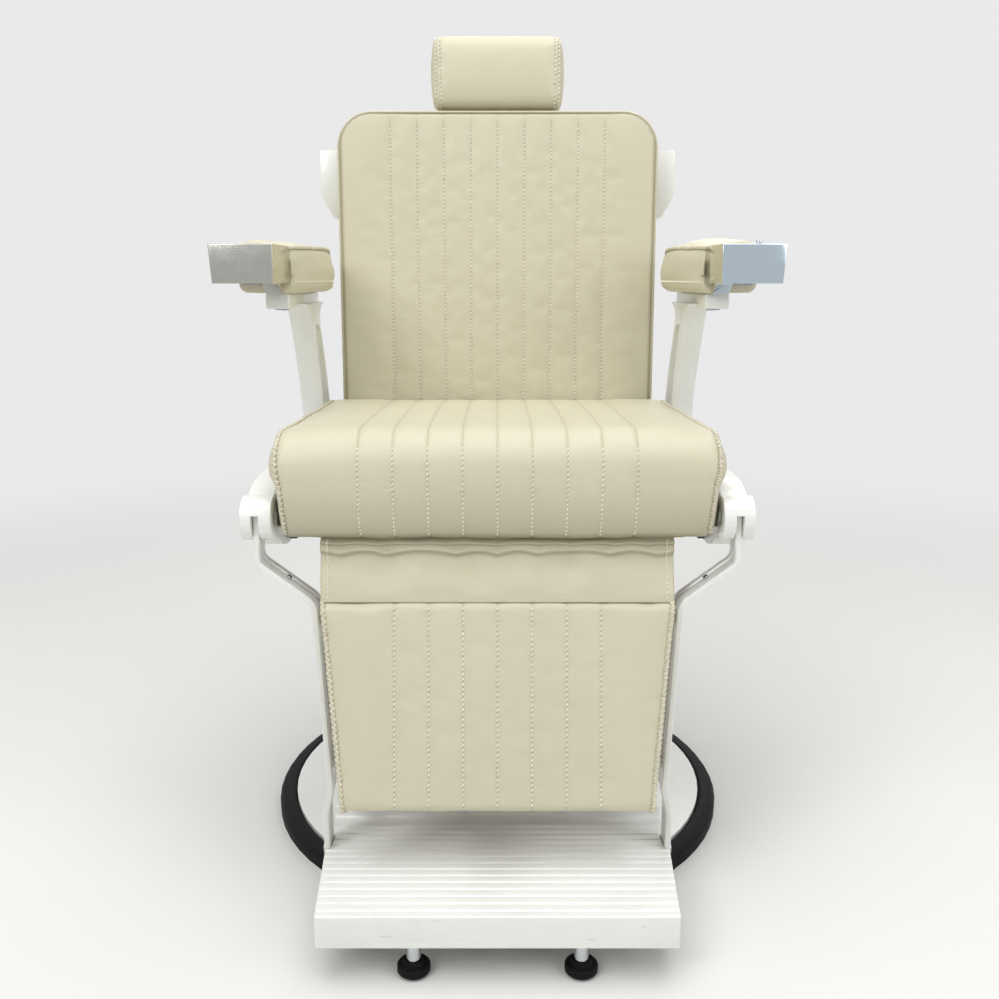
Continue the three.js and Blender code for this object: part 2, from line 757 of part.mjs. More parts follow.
// ---------------------------------------------------------------- side castings
// Side view: slotted hub in front, rail under the cushion, shaft boss behind, and the arm that
// rises from the rail and sweeps forward to the saddle under the arm pad.
function castingShape() {
  const shape = new THREE.Shape();
  const [root, front, middle, high] = armFrontLine;
  const [boss, back, backMiddle, backHigh] = armBackLine;
  const hubAngle = 60 * deg;
  shape.absarc(hubY, hubZ, hubRadius, hubAngle, 315 * deg, false);
  shape.bezierCurveTo(hubY + 34, hubZ - 34, hubY + 60, railBottom, hubY + 84, railBottom);
  shape.lineTo(backY - bossRadius, railBottom);
  shape.bezierCurveTo(backY, railBottom, boss[0], backZ - bossRadius, ...boss);
  shape.bezierCurveTo(boss[0], boss[1] + 24, back[0] + 9, back[1] - 22, ...back);
  shape.bezierCurveTo(back[0] - 12, back[1] + 32, backMiddle[0] + 16, backMiddle[1] - 34, ...backMiddle);
  shape.bezierCurveTo(backMiddle[0] - 14, backMiddle[1] + 28, ...backHigh, backHigh[0] + 2, backHigh[1] + 10);
  shape.quadraticCurveTo(backHigh[0] + 8, saddleBottom, backHigh[0] + 36, saddleBottom + 2);
  shape.lineTo(backHigh[0] + 36, saddleBottom + 6);
  shape.lineTo(high[0] - 36, saddleBottom + 6);
  shape.lineTo(high[0] - 36, saddleBottom + 2);
  shape.quadraticCurveTo(high[0] - 8, saddleBottom, high[0], high[1] - 12);
  shape.bezierCurveTo(high[0] + 15, high[1] - 40, middle[0] - 14, middle[1] + 30, ...middle);
  shape.bezierCurveTo(middle[0] + 16, middle[1] - 34, front[0] - 4, front[1] + 30, ...front);
  shape.quadraticCurveTo(front[0] + 6, root[1], root[0], root[1]);
  shape.lineTo(hubY + 70, railTop + 1);
  shape.quadraticCurveTo(
    hubY + 40,
    railTop + 1,
    hubY + hubRadius * Math.cos(hubAngle),
    hubZ + hubRadius * Math.sin(hubAngle),
  );
  return shape;
}

// The arm is an I-section: this is the hollow beside its web.
function armPocket() {
  const [, front, middle, high] = armFrontLine;
  const [, back, backMiddle, backHigh] = armBackLine;
  const wall = flangeThickness;
  return roundedOutline(
    [
      [front[0] + wall + 4, front[1] - 14],
      [back[0] - wall + 4, back[1] - 14],
      [backMiddle[0] - wall, backMiddle[1]],
      [backHigh[0] - wall, backHigh[1] - 2],
      [high[0] + wall + 14, backHigh[1] + 2],
      [middle[0] + wall, middle[1]],
    ],
    10,
  );
}

function sideCasting() {
  const body = acrossX(castingShape(), castingInner, castingOuter, 1.5, 3);
  const hub = rodX(hubRadius, hubInner, hubOuter, hubY, hubZ, 28);
  const shelfTop = seatBottom - seatGap;
  const shelf = block(shelfInner, castingInner + 2, shelfFront, shelfBack, shelfTop - shelfThickness, shelfTop);
  const saddleShape = new THREE.Shape();
  saddleShape.moveTo(saddleFront, saddleTop);
  saddleShape.lineTo(saddleFront, saddleBottom + 4);
  saddleShape.quadraticCurveTo(saddleFront, saddleBottom, saddleFront + 4, saddleBottom);
  saddleShape.lineTo(saddleBack - 10, saddleBottom);
  saddleShape.quadraticCurveTo(saddleBack, saddleBottom, saddleBack, saddleTop);
  const saddle = acrossX(saddleShape, castingInner + saddleOffset, castingOuter + saddleOffset, 2, 3);
  const pocket = armPocket();
  const railPocket = roundedBox(railPocketFront, railPocketBack, railBottom + flangeThickness, railTop - flangeThickness, 12);
  const tools = [
    acrossX(pocket, castingInner - 5, castingInner + pocketDepth, 0, 2),
    acrossX(pocket, castingOuter - pocketDepth, castingOuter + 5, 0, 2),
    acrossX(railPocket, castingOuter - pocketDepth, castingOuter + 5, 0, 2),
    rodX(hubPinRadius + turnGap, hubInner - 5, hubOuter + 5, hubY, hubZ),
    rodX(barEyeRadius + 2.5, hubSlotInner, hubSlotOuter, hubY, hubZ, 24),
    block(
      hubSlotInner,
      hubSlotOuter,
      hubY - hubRadius - 10,
      hubY + neckHalf + 2.5,
      hubZ - hubRadius - 10,
      hubZ + hubSlotRise,
    ),
    rodX(bushRadius + seatGap, castingInner - 5, castingOuter + 5, backY, backZ, 24),
    rodX(spindleRadius + turnGap, castingInner - 5, castingOuter + 5, leverY, leverZ),
  ];
  return cut(join(body, hub, shelf, saddle), ...tools);
}

// The pin that the leg rest turns on, with a low cap outside the hub.
function hubPin() {
  const shank = rodX(hubPinRadius, hubInner + 1, hubOuter + seatGap + 1, hubY, hubZ);
  const cap = turned(
    [
      [0, 0],
      [hubCapRadius, 0],
      [hubCapRadius, 1.5],
      [hubCapRadius - 3, 3.6],
      [0, 4.4],
    ],
    20,
  );
  cap.rotateY(Math.PI / 2).translate(hubOuter + seatGap, hubY, hubZ);
  return join(shank, cap);
}

function backBush() {
  const ring = turned(
    [
      [shaftRadius + turnGap, castingInner + 0.5],
      [bushRadius, castingInner + 0.5],
      [bushRadius, castingOuter - 0.5],
      [shaftRadius + turnGap, castingOuter - 0.5],
      [shaftRadius + turnGap, castingInner + 0.5],
    ],
    20,
  );
  return ring.rotateY(Math.PI / 2).translate(0, backY, backZ);
}

// ---------------------------------------------------------------- recline brake and lever
// A split ring round the back's shaft; the lever's spindle draws its ears together.
function reclineBrake() {
  const outer = castingInner - seatGap;
  const ring = rodX(brakeRingRadius, brakeInner, outer, backY, backZ, 24);
  const ear = rodX(brakeEarRadius, brakeInner, outer, leverY, leverZ);
  const along = new THREE.Vector2(backY - leverY, backZ - leverZ);
  const length = along.length();
  const angle = Math.atan2(along.y, along.x);
  const bridge = new THREE.BoxGeometry(outer - brakeInner, length, 2 * brakeEarRadius);
  bridge.rotateX(angle).translate((outer + brakeInner) / 2, (backY + leverY) / 2, (backZ + leverZ) / 2);
  const split = new THREE.BoxGeometry(outer - brakeInner + 10, length, brakeSplit);
  split.translate(0, -length / 2, 0).rotateX(angle);
  split.translate((outer + brakeInner) / 2, backY, backZ);
  const tools = [
    rodX(shaftRadius + turnGap, brakeInner - 5, outer + 5, backY, backZ, 20),
    split,
    rodX(spindleRadius + turnGap, brakeInner - 5, outer + 5, leverY, leverZ),
  ];
  return cut(join(ring, ear, bridge), ...tools);
}

function reclineLever() {
  const armInner = castingOuter + 3;
  const spindle = rodX(spindleRadius, brakeInner - 3, armInner + leverArmThickness, leverY, leverZ);
  const shape = new THREE.Shape();
  const end = leverY - leverArmLength;
  shape.absarc(leverY, leverZ, 14, -Math.PI / 2, Math.PI / 2, false);
  shape.bezierCurveTo(leverY - 30, leverZ + 14, leverY - 50, leverZ + 26, end, leverZ + 26);
  shape.lineTo(end, leverZ + 12);
  shape.bezierCurveTo(leverY - 55, leverZ + 12, leverY - 30, leverZ - 14, leverY, leverZ - 14);
  const arm = acrossX(shape, armInner, armInner + leverArmThickness, 1, 5);
  return join(spindle, arm);
}

function leverGrip() {
  const x = castingOuter + 3 + leverArmThickness / 2 + 5.5;
  const front = leverY - leverArmLength - seatGap;
  const profile = [
    [0, 0],
    [gripRadius * 0.6, 0],
    [gripRadius * 0.8, 4],
    [gripRadius, gripLength * 0.35],
    [gripRadius * 0.85, gripLength * 0.7],
    [gripRadius, gripLength - 8],
    [gripRadius * 0.6, gripLength - 1],
    [0, gripLength],
  ];
  return turned(profile, 18).rotateX(Math.PI / 2).translate(x, front, leverZ + 19);
}

// ---------------------------------------------------------------- arm pads and blocks
// The padded arm, lying front to back, with a groove below for the block's tongue.
function armPad() {
  const front = blockBack + seatGap;
  const halfLength = (armPadBack - front) / 2;
  const endRadius = 34;
  const stations = formStations(halfLength, endRadius, [], halfLength / 4, 4);
  const extent = (x) => {
    const y = x + front + halfLength;
    // the front end is cut square against the block, the back end is round
    const drop = x > 0 ? edgeDrop(halfLength - x, endRadius) : 0;
    const fromWidest = y - armPadWidestY;
    const bow = fromWidest < 0 ? armPadFrontDraw : armPadBackDraw;
    const inner = armPadInner + bow * (fromWidest / (fromWidest < 0 ? armPadWidestY : armPadBack - armPadWidestY)) ** 2;
    return {
      front: -armPadOuter + drop * 0.6,
      back: -inner - drop * 0.5,
      bottom: armPadBottom,
      top: armPadTop - armPadFall * ((y - 70) / (armPadBack - 70)) ** 2 - drop * 0.5,
      crown: 4,
    };
  };
  const form = paddedForm(stations, extent, [10, 24, 24, 10], 0);
  // the form's length turns to lie along y, its wide side inwards
  form.rotateZ(Math.PI / 2).translate(0, front + halfLength, 0);
  const side = tongueHalfWidth + seatGap;
  const groove = block(
    saddleX - side,
    saddleX + side,
    front - 30,
    tongueBack + 1,
    armPadBottom - 10,
    armPadBottom + tongueThickness + seatGap,
  );
  return cut(form, groove);
}

// The metal block at the front of the arm; a tongue below its back lies on the saddle.
function armBlock() {
  const frontShape = new THREE.Shape();
  frontShape.moveTo(blockInner, blockTop);
  frontShape.lineTo(blockInner + 0.5, blockBottom);
  frontShape.lineTo(blockOuter - 3, blockBottom);
  frontShape.lineTo(blockOuter, blockTop);
  const depth = blockBack - blockFront;
  const body = new THREE.ExtrudeGeometry(frontShape, {
    depth: depth - 2 * blockBevel,
    bevelEnabled: true,
    bevelSize: blockBevel,
    bevelThickness: blockBevel,
    bevelOffset: -blockBevel,
    bevelSegments: 2,
  });
  body.rotateX(Math.PI / 2).translate(0, blockBack - blockBevel, 0);
  const low = saddleTop + seatGap;
  const shape = outline([
    [blockBack - 26, blockBottom + 6],
    [blockBack - 26, blockBottom - 2],
    [blockBack - 8, low],
    [tongueBack, low],
    [tongueBack, low + tongueThickness],
    [blockBack + 0.1, low + tongueThickness],
    [blockBack - 2, blockBottom + 6],
  ]);
  const tongue = acrossX(shape, saddleX - tongueHalfWidth, saddleX + tongueHalfWidth);
  return join(body, tongue);
}

function armKnob() {
  const low = blockTop + seatGap;
  const cap = turned(
    [
      [0, low],
      [knobRadius * 0.6, low],
      [knobRadius * 0.6, low + knobHeight * 0.35],
      [knobRadius, low + knobHeight * 0.5],
      [knobRadius * 0.8, low + knobHeight * 0.9],
      [0, low + knobHeight],
    ],
    16,
  );
  return cap.translate(knobX, knobY, 0);
}

// ---------------------------------------------------------------- leg rest
// Points along a bent line, its corners rounded, each with the direction across the line.
function bentLine(corners, radius, steps) {
  const points = [];
  const add = (point, across) => points.push({ point, across });
  const turnLeft = (v) => new THREE.Vector2(-v.y, v.x);
  for (let i = 0; i < corners.length; i++) {
    const here = corners[i];
    const before = i > 0 ? here.clone().sub(corners[i - 1]).normalize() : null;
    const after = i + 1 < corners.length ? corners[i + 1].clone().sub(here).normalize() : null;
    if (!before || !after) {
      add(here.clone(), turnLeft(before ?? after));
      continue;
    }
    const turn = Math.acos(THREE.MathUtils.clamp(before.dot(after), -1, 1));
    const setback = radius * Math.tan(turn / 2);
    for (let k = 0; k <= steps; k++) {
      const t = k / steps;
      const start = here.clone().addScaledVector(before, -setback);
      const end = here.clone().addScaledVector(after, setback);
      const a = start.lerp(here, t);
      const b = here.clone().lerp(end, t);
      const direction = b.clone().sub(a).normalize();
      add(a.lerp(b, t), turnLeft(direction.lengthSq() ? direction : after));
    }
  }
  return points;
}

// Where the bar's middle line lies at a height, below its shoulder and above its waist.
const barX = (z) => THREE.MathUtils.mapLinear(z, barShoulderZ, barWaistZ, barShoulderX, barWaistX);

// A cast bar, bent in to clear the pad and out again to the footplate. Its outer face is plain,
// and its inner face steps down behind the bead at its front edge.
function legrestBar() {
  const corners = [
    [barMiddleX, hubZ],
    [barTopX, barElbowZ],
    [barShoulderX, barShoulderZ],
    [barWaistX, barWaistZ],
    [barFootX, barFootZ],
    [barFootX, barBottom],
  ].map(([x, z]) => new THREE.Vector2(x, z));
  const half = barThickness / 2;
  const section = [
    [0, -half + 1],
    [0, half - 1],
    [0.03, half],
    [0.97, half],
    [1, half - 1],
    [1, -half + barStep],
    [0.76, -half + barStep],
    [0.74, -half + 2 * barStep],
    [0.52, -half + 2 * barStep],
    [0.5, -half + barStep],
    [0.26, -half + barStep],
    [0.23, -half],
    [0.03, -half],
  ];
  const stations = bentLine(corners, 15, 2);
  const neckEnd = hubZ - hubRadius + 3;
  const rings = stations.map(({ point, across }) => {
    const spread = THREE.MathUtils.smoothstep(neckEnd - point.y, 0, 22);
    const front = THREE.MathUtils.lerp(-neckHalf, barFront, spread);
    const back = THREE.MathUtils.lerp(neckHalf, barBack, spread);
    return section.map(([deep, thick]) => {
      const y = hubY + THREE.MathUtils.lerp(front, back, deep);
      return new THREE.Vector3(point.x + across.x * thick, y, point.y + across.y * thick);
    });
  });
  const bar = loft(rings);
  const eye = rodX(barEyeRadius, barMiddleX - half, barMiddleX + half, hubY, hubZ, 24);
  const bossEnd = (z) => barX(z) - half;
  const bosses = [
    rodX(barBossRadius, bossEnd(upperTubeZ), barX(upperTubeZ), upperTubeY - 2, upperTubeZ),
    rodX(barBossRadius, bossEnd(lowerTubeZ), barX(lowerTubeZ), lowerTubeY, lowerTubeZ),
  ];
  const holes = [
    rodX(hubPinRadius + turnGap, barMiddleX - 30, barMiddleX + 30, hubY, hubZ),
    rodX(footBoltRadius + seatGap, barFootX - 30, barFootX + 30, footBoltY, footBoltZ, 20),
  ];
  return cut(join(bar, eye, ...bosses), ...holes);
}

// From the chair's frame into the frame of the tilted pad, whose origin is its top front edge.
const padGroup = new THREE.Group();
padGroup.position.set(0, padTopY, padTopZ);
padGroup.rotation.x = -padTilt * deg;
padGroup.updateMatrixWorld(true);
const padBack = padThickness + seatGap + padBoardThickness;
const padPlaneY = (z) => {
  // the y of the board's back face at a height
  const edge = new THREE.Vector3(0, padBack, 0).applyMatrix4(padGroup.matrixWorld);
  return edge.y - (edge.z - z) * Math.tan(padTilt * deg);
};

// Two tubes between the bars, gussets that hold the tilted board, and a lug for each drag link.
function legrestFrame() {
  const upper = barX(upperTubeZ) - barThickness / 2 - seatGap;
  const lower = barX(lowerTubeZ) - barThickness / 2 - seatGap;
  const high = upperTubeZ + crossTubeRadius;
  const low = lowerTubeZ - crossTubeRadius;
  const gussetShape = outline([
    [upperTubeY + 3, high - 2],
    [lowerTubeY + 3, low + 2],
    [padPlaneY(low + 2) + seatGap, low + 2],
    [padPlaneY(high - 2) + seatGap, high - 2],
  ]);
  const gusset = acrossX(gussetShape, gussetX, gussetX + gussetThickness);
  const lugInner = linkX + linkThickness + seatGap;
  const pinY = hubY + crankY;
  const pinZ = hubZ + crankZ;
  const lugShape = new THREE.Shape();
  lugShape.moveTo(upperTubeY - 4, upperTubeZ);
  lugShape.lineTo(upperTubeY + 10, upperTubeZ);
  lugShape.lineTo(pinY + linkEyeRadius, pinZ);
  lugShape.absarc(pinY, pinZ, linkEyeRadius, 0, Math.PI, false);
  const lug = acrossX(lugShape, lugInner, lugInner + linkThickness, 0, 8);
  const pin = rodX(linkPinRadius, linkX - 3, lugInner + 1, pinY, pinZ, 16);
  return join(
    rodX(crossTubeRadius, -upper, upper, upperTubeY, upperTubeZ, 16),
    rodX(crossTubeRadius, -lower, lower, lowerTubeY, lowerTubeZ, 16),
    gusset,
    mirrored(gusset),
    lug,
    mirrored(lug),
    pin,
    mirrored(pin),
  );
}

// In the tilted frame: front face at y = 0, top at z = 0. The sides draw in towards the bottom.
const padHalfWidth = (z) => THREE.MathUtils.mapLinear(z, 0, -padLength, padTopHalfWidth, padBottomHalfWidth);

function legPad() {
  const seams = seamPlaces(padSeams, seamPitch);
  const stations = formStations(padTopHalfWidth, 12, seams, seamPitch, 4);
  const extent = (x) => {
    const drop = edgeDrop(padTopHalfWidth - Math.abs(x), 12);
    const dip = seamDip(x, seams, seamPitch, seamDepth - 1);
    return {
      front: drop + dip,
      back: padThickness,
      bottom: -padLength + drop,
      top: -drop,
      crown: 0,
    };
  };
  const form = paddedForm(stations, extent, [14, 14, 5, 5], 0);
  const position = form.attributes.position;
  for (let i = 0; i < position.count; i++) {
    const narrow = padHalfWidth(position.getZ(i)) / padTopHalfWidth;
    const x = position.getX(i);
    // the sewn lines stay parallel; only the outer panels narrow
    const lastSeam = seams[seams.length - 1] + seamPitch / 2;
    const beyond = Math.max(0, Math.abs(x) - lastSeam);
    const room = padTopHalfWidth - lastSeam;
    const shrunk = room - padTopHalfWidth * (1 - narrow);
    position.setX(i, x - Math.sign(x) * beyond * (1 - shrunk / room));
  }
  return form;
}

function legPadBoard() {
  const top = padTopHalfWidth - padBoardInset;
  const bottom = padBottomHalfWidth - padBoardInset;
  const plan = outline([
    [-bottom, -padLength + 10],
    [bottom, -padLength + 10],
    [top, -8],
    [-top, -8],
  ]);
  const sheet = new THREE.ExtrudeGeometry(plan, { depth: padBoardThickness, bevelEnabled: false });
  return sheet.rotateX(Math.PI / 2).translate(0, padBack, 0);
}

// The vinyl that closes the space between the seat and the leg pad.
function legSkirt() {
  const foot = new THREE.Vector3(0, padThickness * 0.75, seatGap + 0.4).applyMatrix4(padGroup.matrixWorld);
  const line = new THREE.CubicBezierCurve(
    new THREE.Vector2(skirtTopY, skirtTopZ),
    new THREE.Vector2(skirtTopY + 9, skirtTopZ - 24),
    new THREE.Vector2(foot.y + 6, foot.z + 26),
    new THREE.Vector2(foot.y, foot.z),
  );
  const steps = 8;
  const ahead = [];
  const behind = [];
  for (let i = 0; i <= steps; i++) {
    const { x, y } = line.getPoint(i / steps);
    ahead.push([x - skirtThickness / 2, y]);
    behind.unshift([x + skirtThickness / 2, y]);
  }
  return acrossX(outline([...ahead, ...behind]), -skirtHalfWidth, skirtHalfWidth);
}

// ---------------------------------------------------------------- footplate
const plateFrame = new THREE.Matrix4()
  .makeTranslation(0, plateFrontY, plateFrontZ)
  .multiply(new THREE.Matrix4().makeRotationX(-plateTilt * deg));

// Side view of the plate in its own tilted frame: grooved top with an upturned rear edge, upright
// front lip, wedge below.
function plateSide() {
  const lipRun = plateLipHeight * Math.sin(plateTilt * deg);
  const lipDrop = plateLipHeight * Math.cos(plateTilt * deg);
  const points = [
    [lipRun, -lipDrop],
    [0, -1.5],
    [1.5, 0],
  ];
  for (let i = 0; i < grooveCount; i++) {
    const y = grooveStart + i * groovePitch;
    const half = grooveWidth / 2;
    points.push([y - half, 0], [y - half * 0.3, -grooveDepth], [y + half * 0.3, -grooveDepth], [y + half, 0]);
  }
  const heelFace = plateLength - heelThickness;
  for (let i = 0; i <= 4; i++) {
    const a = (i / 4) * (Math.PI / 2);
    points.push([heelFace - heelRadius * (1 - Math.sin(a)), heelRadius * (1 - Math.cos(a))]);
  }
  points.push([heelFace, heelHeight - 2], [heelFace + 2, heelHeight], [plateLength - 2, heelHeight]);
  points.push([plateLength, heelHeight - 2], [plateLength, -plateThickness]);
  return outline(points);
}

// Plan of the plate, wider behind than in front, drawn in by an even margin.
function platePlan(margin) {
  const front = plateFrontHalf - margin;
  const back = plateBackHalf - margin;
  const near = margin;
  const far = plateLength - margin;
  return outline([
    [-front, near],
    [front, near],
    [back, plateTaperLength],
    [back, far],
    [-back, far],
    [-back, plateTaperLength],
  ]);
}

function footplate() {
  const wide = plateBackHalf + 10;
  const deep = plateLipHeight + 30;
  const lipRun = plateLipHeight * Math.sin(plateTilt * deg);
  const wedge = common(acrossX(plateSide(), -wide, wide), upZ(platePlan(0), -deep, heelHeight + 5));
  const cavity = upZ(platePlan(plateWall), -deep, -plateThickness).translate(0, lipRun, 0);
  const half = plateRibThickness / 2;
  const ribTop = -plateThickness + 1;
  const ribs = [-footX, 0, footX].map((x) =>
    block(x - half, x + half, plateWall - 2, plateLength - plateWall + 2, -deep, ribTop),
  );
  const side = plateFrontHalf - plateWall + 2;
  for (const part of [0.25, 0.49, 0.735]) {
    const y = plateLength * part;
    ribs.push(block(-side, side, y - half, y + half, -deep, ribTop));
  }
  const ribbed = common(join(ribs[0], ...ribs.slice(1)), acrossX(plateSide(), -wide, wide));
  const shell = join(cut(wedge, cavity), ribbed).applyMatrix4(plateFrame);
  const below = block(-wide, wide, 0, plateLength, -2 * deep, -3).applyMatrix4(plateFrame);
  const bosses = [-footX, footX].map((x) => {
    const boss = rodZ(footBossRadius, x, footY, footBossZ, plateFrontZ + 10, 24);
    return common(boss, below);
  });
  const inner = barFootX - barThickness / 2 - seatGap;
  const front = hubY + barFront;
  const back = hubY + barBack;
  // a thicker wall inside each bar, for its bolt
  const bolster = common(
    block(inner - footBolsterThickness, inner, front - plateWall, back + plateWall, 0, plateFrontZ),
    acrossX(plateSide(), -wide, wide).applyMatrix4(plateFrame),
  );
  const rebate = block(inner, inner + 40, front - 0.6, back + 0.6, 0, plateFrontZ + 40);
  const boltHole = rodX(footBoltRadius + seatGap, inner - footBolsterThickness - 5, inner + 40, footBoltY, footBoltZ, 16);
  const tools = [rebate, mirrored(rebate), boltHole, mirrored(boltHole)];
  for (const x of [-footX, footX]) tools.push(rodZ(postRadius + seatGap, x, footY, 0, footBossZ));
  return cut(join(shell, ...bosses, bolster, mirrored(bolster)), ...tools);
}

const footPost = () => rodZ(postRadius, footX, footY, footClearance + footHeight + seatGap, footBossZ - seatGap, 24);

// A round rubber foot with a soft edge.
function footPad() {
  const low = footClearance;
  const high = footClearance + footHeight;
  return turned(
    [
      [0, low],
      [footRadius - 2, low],
      [footRadius, low + 2],
      [footRadius, low + footHeight * 0.55],
      [footRadius - 1.5, low + footHeight * 0.66],
      [postRadius + 4, low + footHeight * 0.74],
      [postRadius + 2.5, high],
      [0, high],
    ],
    24,
  ).translate(footX, footY, 0);
}

function footBolt() {
  const outer = barFootX + barThickness / 2;
  const shank = rodX(footBoltRadius, outer - barThickness - 12, outer + seatGap + 1, footBoltY, footBoltZ, 20);
  return join(shank, rodX(boltHeadRadius, outer + seatGap, outer + boltHeadThickness, footBoltY, footBoltZ, 6));
}

// ---------------------------------------------------------------- back, in a frame at its shaft
const backGroup = new THREE.Group();
backGroup.position.set(0, backY, backZ);
backGroup.rotation.x = -backLean * deg;

// the cranks stand at the shaft without the back's lean
const crankGroup = new THREE.Group();
crankGroup.position.copy(backGroup.position);

const backShaft = () => rodX(shaftRadius, -shaftHalfLength, shaftHalfLength, 0, 0, 28);

// Two plates hang on the shaft, pass below the cushion and stand up behind its board.
function backFrame() {
  const back = frameFace + uprightDepth;
  const shape = new THREE.Shape();
  shape.absarc(0, 0, 22, Math.PI / 2, -Math.PI / 2 + 0.3, false);
  shape.bezierCurveTo(30, -18, back, -10, back, 50);
  shape.lineTo(back, uprightTop - 12);
  shape.quadraticCurveTo(back, uprightTop, back - 12, uprightTop);
  shape.lineTo(frameFace, uprightTop);
  shape.lineTo(frameFace, 43);
  shape.bezierCurveTo(frameFace, 30, frameFace - 14, 24, 0, 22);
  const side = acrossX(shape, uprightX, uprightX + uprightThickness, 0, 4);
  const half = crossBarHeight / 2;
  const bars = [lowerBarZ, upperBarZ].map((z) =>
    block(-uprightX - 1, uprightX + 1, crossBarFace, frameFace + uprightDepth, z - half, z + half),
  );
  const hole = rodX(shaftRadius + seatGap, -200, 200, 0, 0, 20);
  return cut(join(side, mirrored(side), ...bars), hole);
}

function backCrank() {
  const inner = linkX + linkThickness + seatGap;
  const shape = new THREE.Shape();
  const reach = new THREE.Vector2(crankY, crankZ);
  const angle = Math.atan2(reach.y, reach.x);
  shape.absarc(0, 0, crankHubRadius, angle + Math.PI / 2, angle - Math.PI / 2 + 2 * Math.PI, false);
  shape.absarc(crankY, crankZ, linkEyeRadius, angle - Math.PI / 2, angle + Math.PI / 2, false);
  const plate = acrossX(shape, inner, inner + crankThickness, 0, 6);
  const pin = rodX(linkPinRadius, linkX - 3, inner + 1, crankY, crankZ, 16);
  return cut(join(plate, pin), rodX(shaftRadius + seatGap, 0, 200, 0, 0, 20));
}

const backBoard = () => {
  const half = backHalfWidth - backBoardInset;
  const plan = roundedBox(-half, half, backBottom + 8, backTop - backBoardInset, backCornerRadius - backBoardInset);
  const sheet = new THREE.ExtrudeGeometry(plan, { depth: backBoardThickness, bevelEnabled: false, curveSegments: 8 });
  return sheet.rotateX(Math.PI / 2).translate(0, boardPlane + backBoardThickness, 0);
};

// The backrest: nine sewn lines, large upper corners, its face slightly crowned.
function backCushion() {
  const seams = seamPlaces(backSeams, seamPitch);
  const stations = formStations(backHalfWidth, backCornerRadius, seams, seamPitch);
  const extent = (x) => {
    const inside = backHalfWidth - Math.abs(x);
    const dip = seamDip(x, seams, seamPitch, seamDepth);
    return {
      front: backFace + edgeDrop(inside, 16) + dip,
      back: boardPlane - seatGap,
      bottom: backBottom + edgeDrop(inside, 26),
      top: backTop - edgeDrop(inside, backCornerRadius),
      crown: 0,
    };
  };
  return paddedForm(stations, extent, [16, 18, 8, 8], 0);
}

// ---------------------------------------------------------------- handle behind the back
function handleBracket() {
  const face = outline([
    [bracketInner, bracketTop],
    [bracketInner, bracketBottom + 8],
    [bracketInner + 6, bracketBottom],
    [bracketInner + 13, bracketBottom],
    [bracketOuter, bracketBottom + 34],
    [bracketOuter, bracketTop - 3],
    [bracketOuter - 3, bracketTop],
  ]);
  const front = boardPlane - 16;
  const body = new THREE.ExtrudeGeometry(face, { depth: frameFace + 8 - front, bevelEnabled: false });
  body.rotateX(Math.PI / 2).translate(0, frameFace + 8, 0);
  const leaf = block(bracketInner - 46, bracketInner + 4, frameFace, frameFace + 8, bracketBottom + 30, bracketTop - 12);
  const eyeShape = new THREE.Shape();
  eyeShape.moveTo(frameFace + 2, railZ - 17);
  eyeShape.lineTo(railY, railZ - 16);
  eyeShape.absarc(railY, railZ, 16, -Math.PI / 2, Math.PI / 2, false);
  eyeShape.lineTo(frameFace + 2, railZ + 17);
  const eye = acrossX(eyeShape, bracketInner + 8, bracketInner + 26, 1, 6);
  const bore = rodX(railRadius + seatGap, bracketInner, bracketInner + 22, railY, railZ);
  return cut(join(body, leaf, eye), bore);
}

const handleRail = () => rodX(railRadius, -bracketInner - 20, bracketInner + 20, railY, railZ, 24);

// ---------------------------------------------------------------- headrest
// A channel on the back that the headrest's flat post slides in.
function headrestGuide() {
  const half = postHalfWidth + turnGap;
  const front = postFront - turnGap;
  const back = postFront + postThickness + turnGap;
  const outer = block(-half - guideWall, half + guideWall, frameFace, back + guideWall, guideBottom, guideTop);
  const ears = block(-half - 20, half + 20, frameFace, frameFace + 3, guideBottom + 12, guideTop - 12);
  return cut(join(outer, ears), block(-half, half, front, back, guideBottom - 10, guideTop + 10));
}

// The flat post, and the yoke at its top that the headrest tilts in.
function headrestPost() {
  const bar = block(-postHalfWidth, postHalfWidth, postFront, postFront + postThickness, postBottom, headAxisZ - 6);
  const shape = new THREE.Shape();
  shape.absarc(headAxisY, headAxisZ, 10, Math.PI / 2, Math.PI * 1.25, false);
  shape.lineTo(postFront + 1, headAxisZ - 26);
  shape.lineTo(postFront + postThickness, headAxisZ - 26);
  shape.lineTo(postFront + postThickness, headAxisZ - 2);
  const yoke = acrossX(shape, -postHalfWidth, postHalfWidth, 0, 5);
  return cut(join(bar, yoke), rodX(headPinRadius + turnGap, -60, 60, headAxisY, headAxisZ, 16));
}

// The board behind the headrest cushion, with two ears and the pin that joins them.
function headrestBoard() {
  const front = headFace + headThickness + seatGap;
  const half = headHalfWidth - 14;
  const plan = roundedBox(-half, half, headBottom + 12, headBottom + headHeight - 12, 14);
  const sheet = new THREE.ExtrudeGeometry(plan, { depth: headBoardThickness, bevelEnabled: false, curveSegments: 4 });
  sheet.rotateX(Math.PI / 2).translate(0, front + headBoardThickness, 0);
  const shape = new THREE.Shape();
  shape.moveTo(front + headBoardThickness - 2, headAxisZ - 14);
  shape.lineTo(headAxisY, headAxisZ - 9);
  shape.absarc(headAxisY, headAxisZ, 9, -Math.PI / 2, Math.PI / 2, false);
  shape.lineTo(front + headBoardThickness - 2, headAxisZ + 14);
  const inner = postHalfWidth + seatGap;
  const ear = acrossX(shape, inner, inner + 5, 0, 4);
  const pin = rodX(headPinRadius, -inner - 7, inner + 7, headAxisY, headAxisZ, 14);
  return join(sheet, ear, mirrored(ear), pin);
}

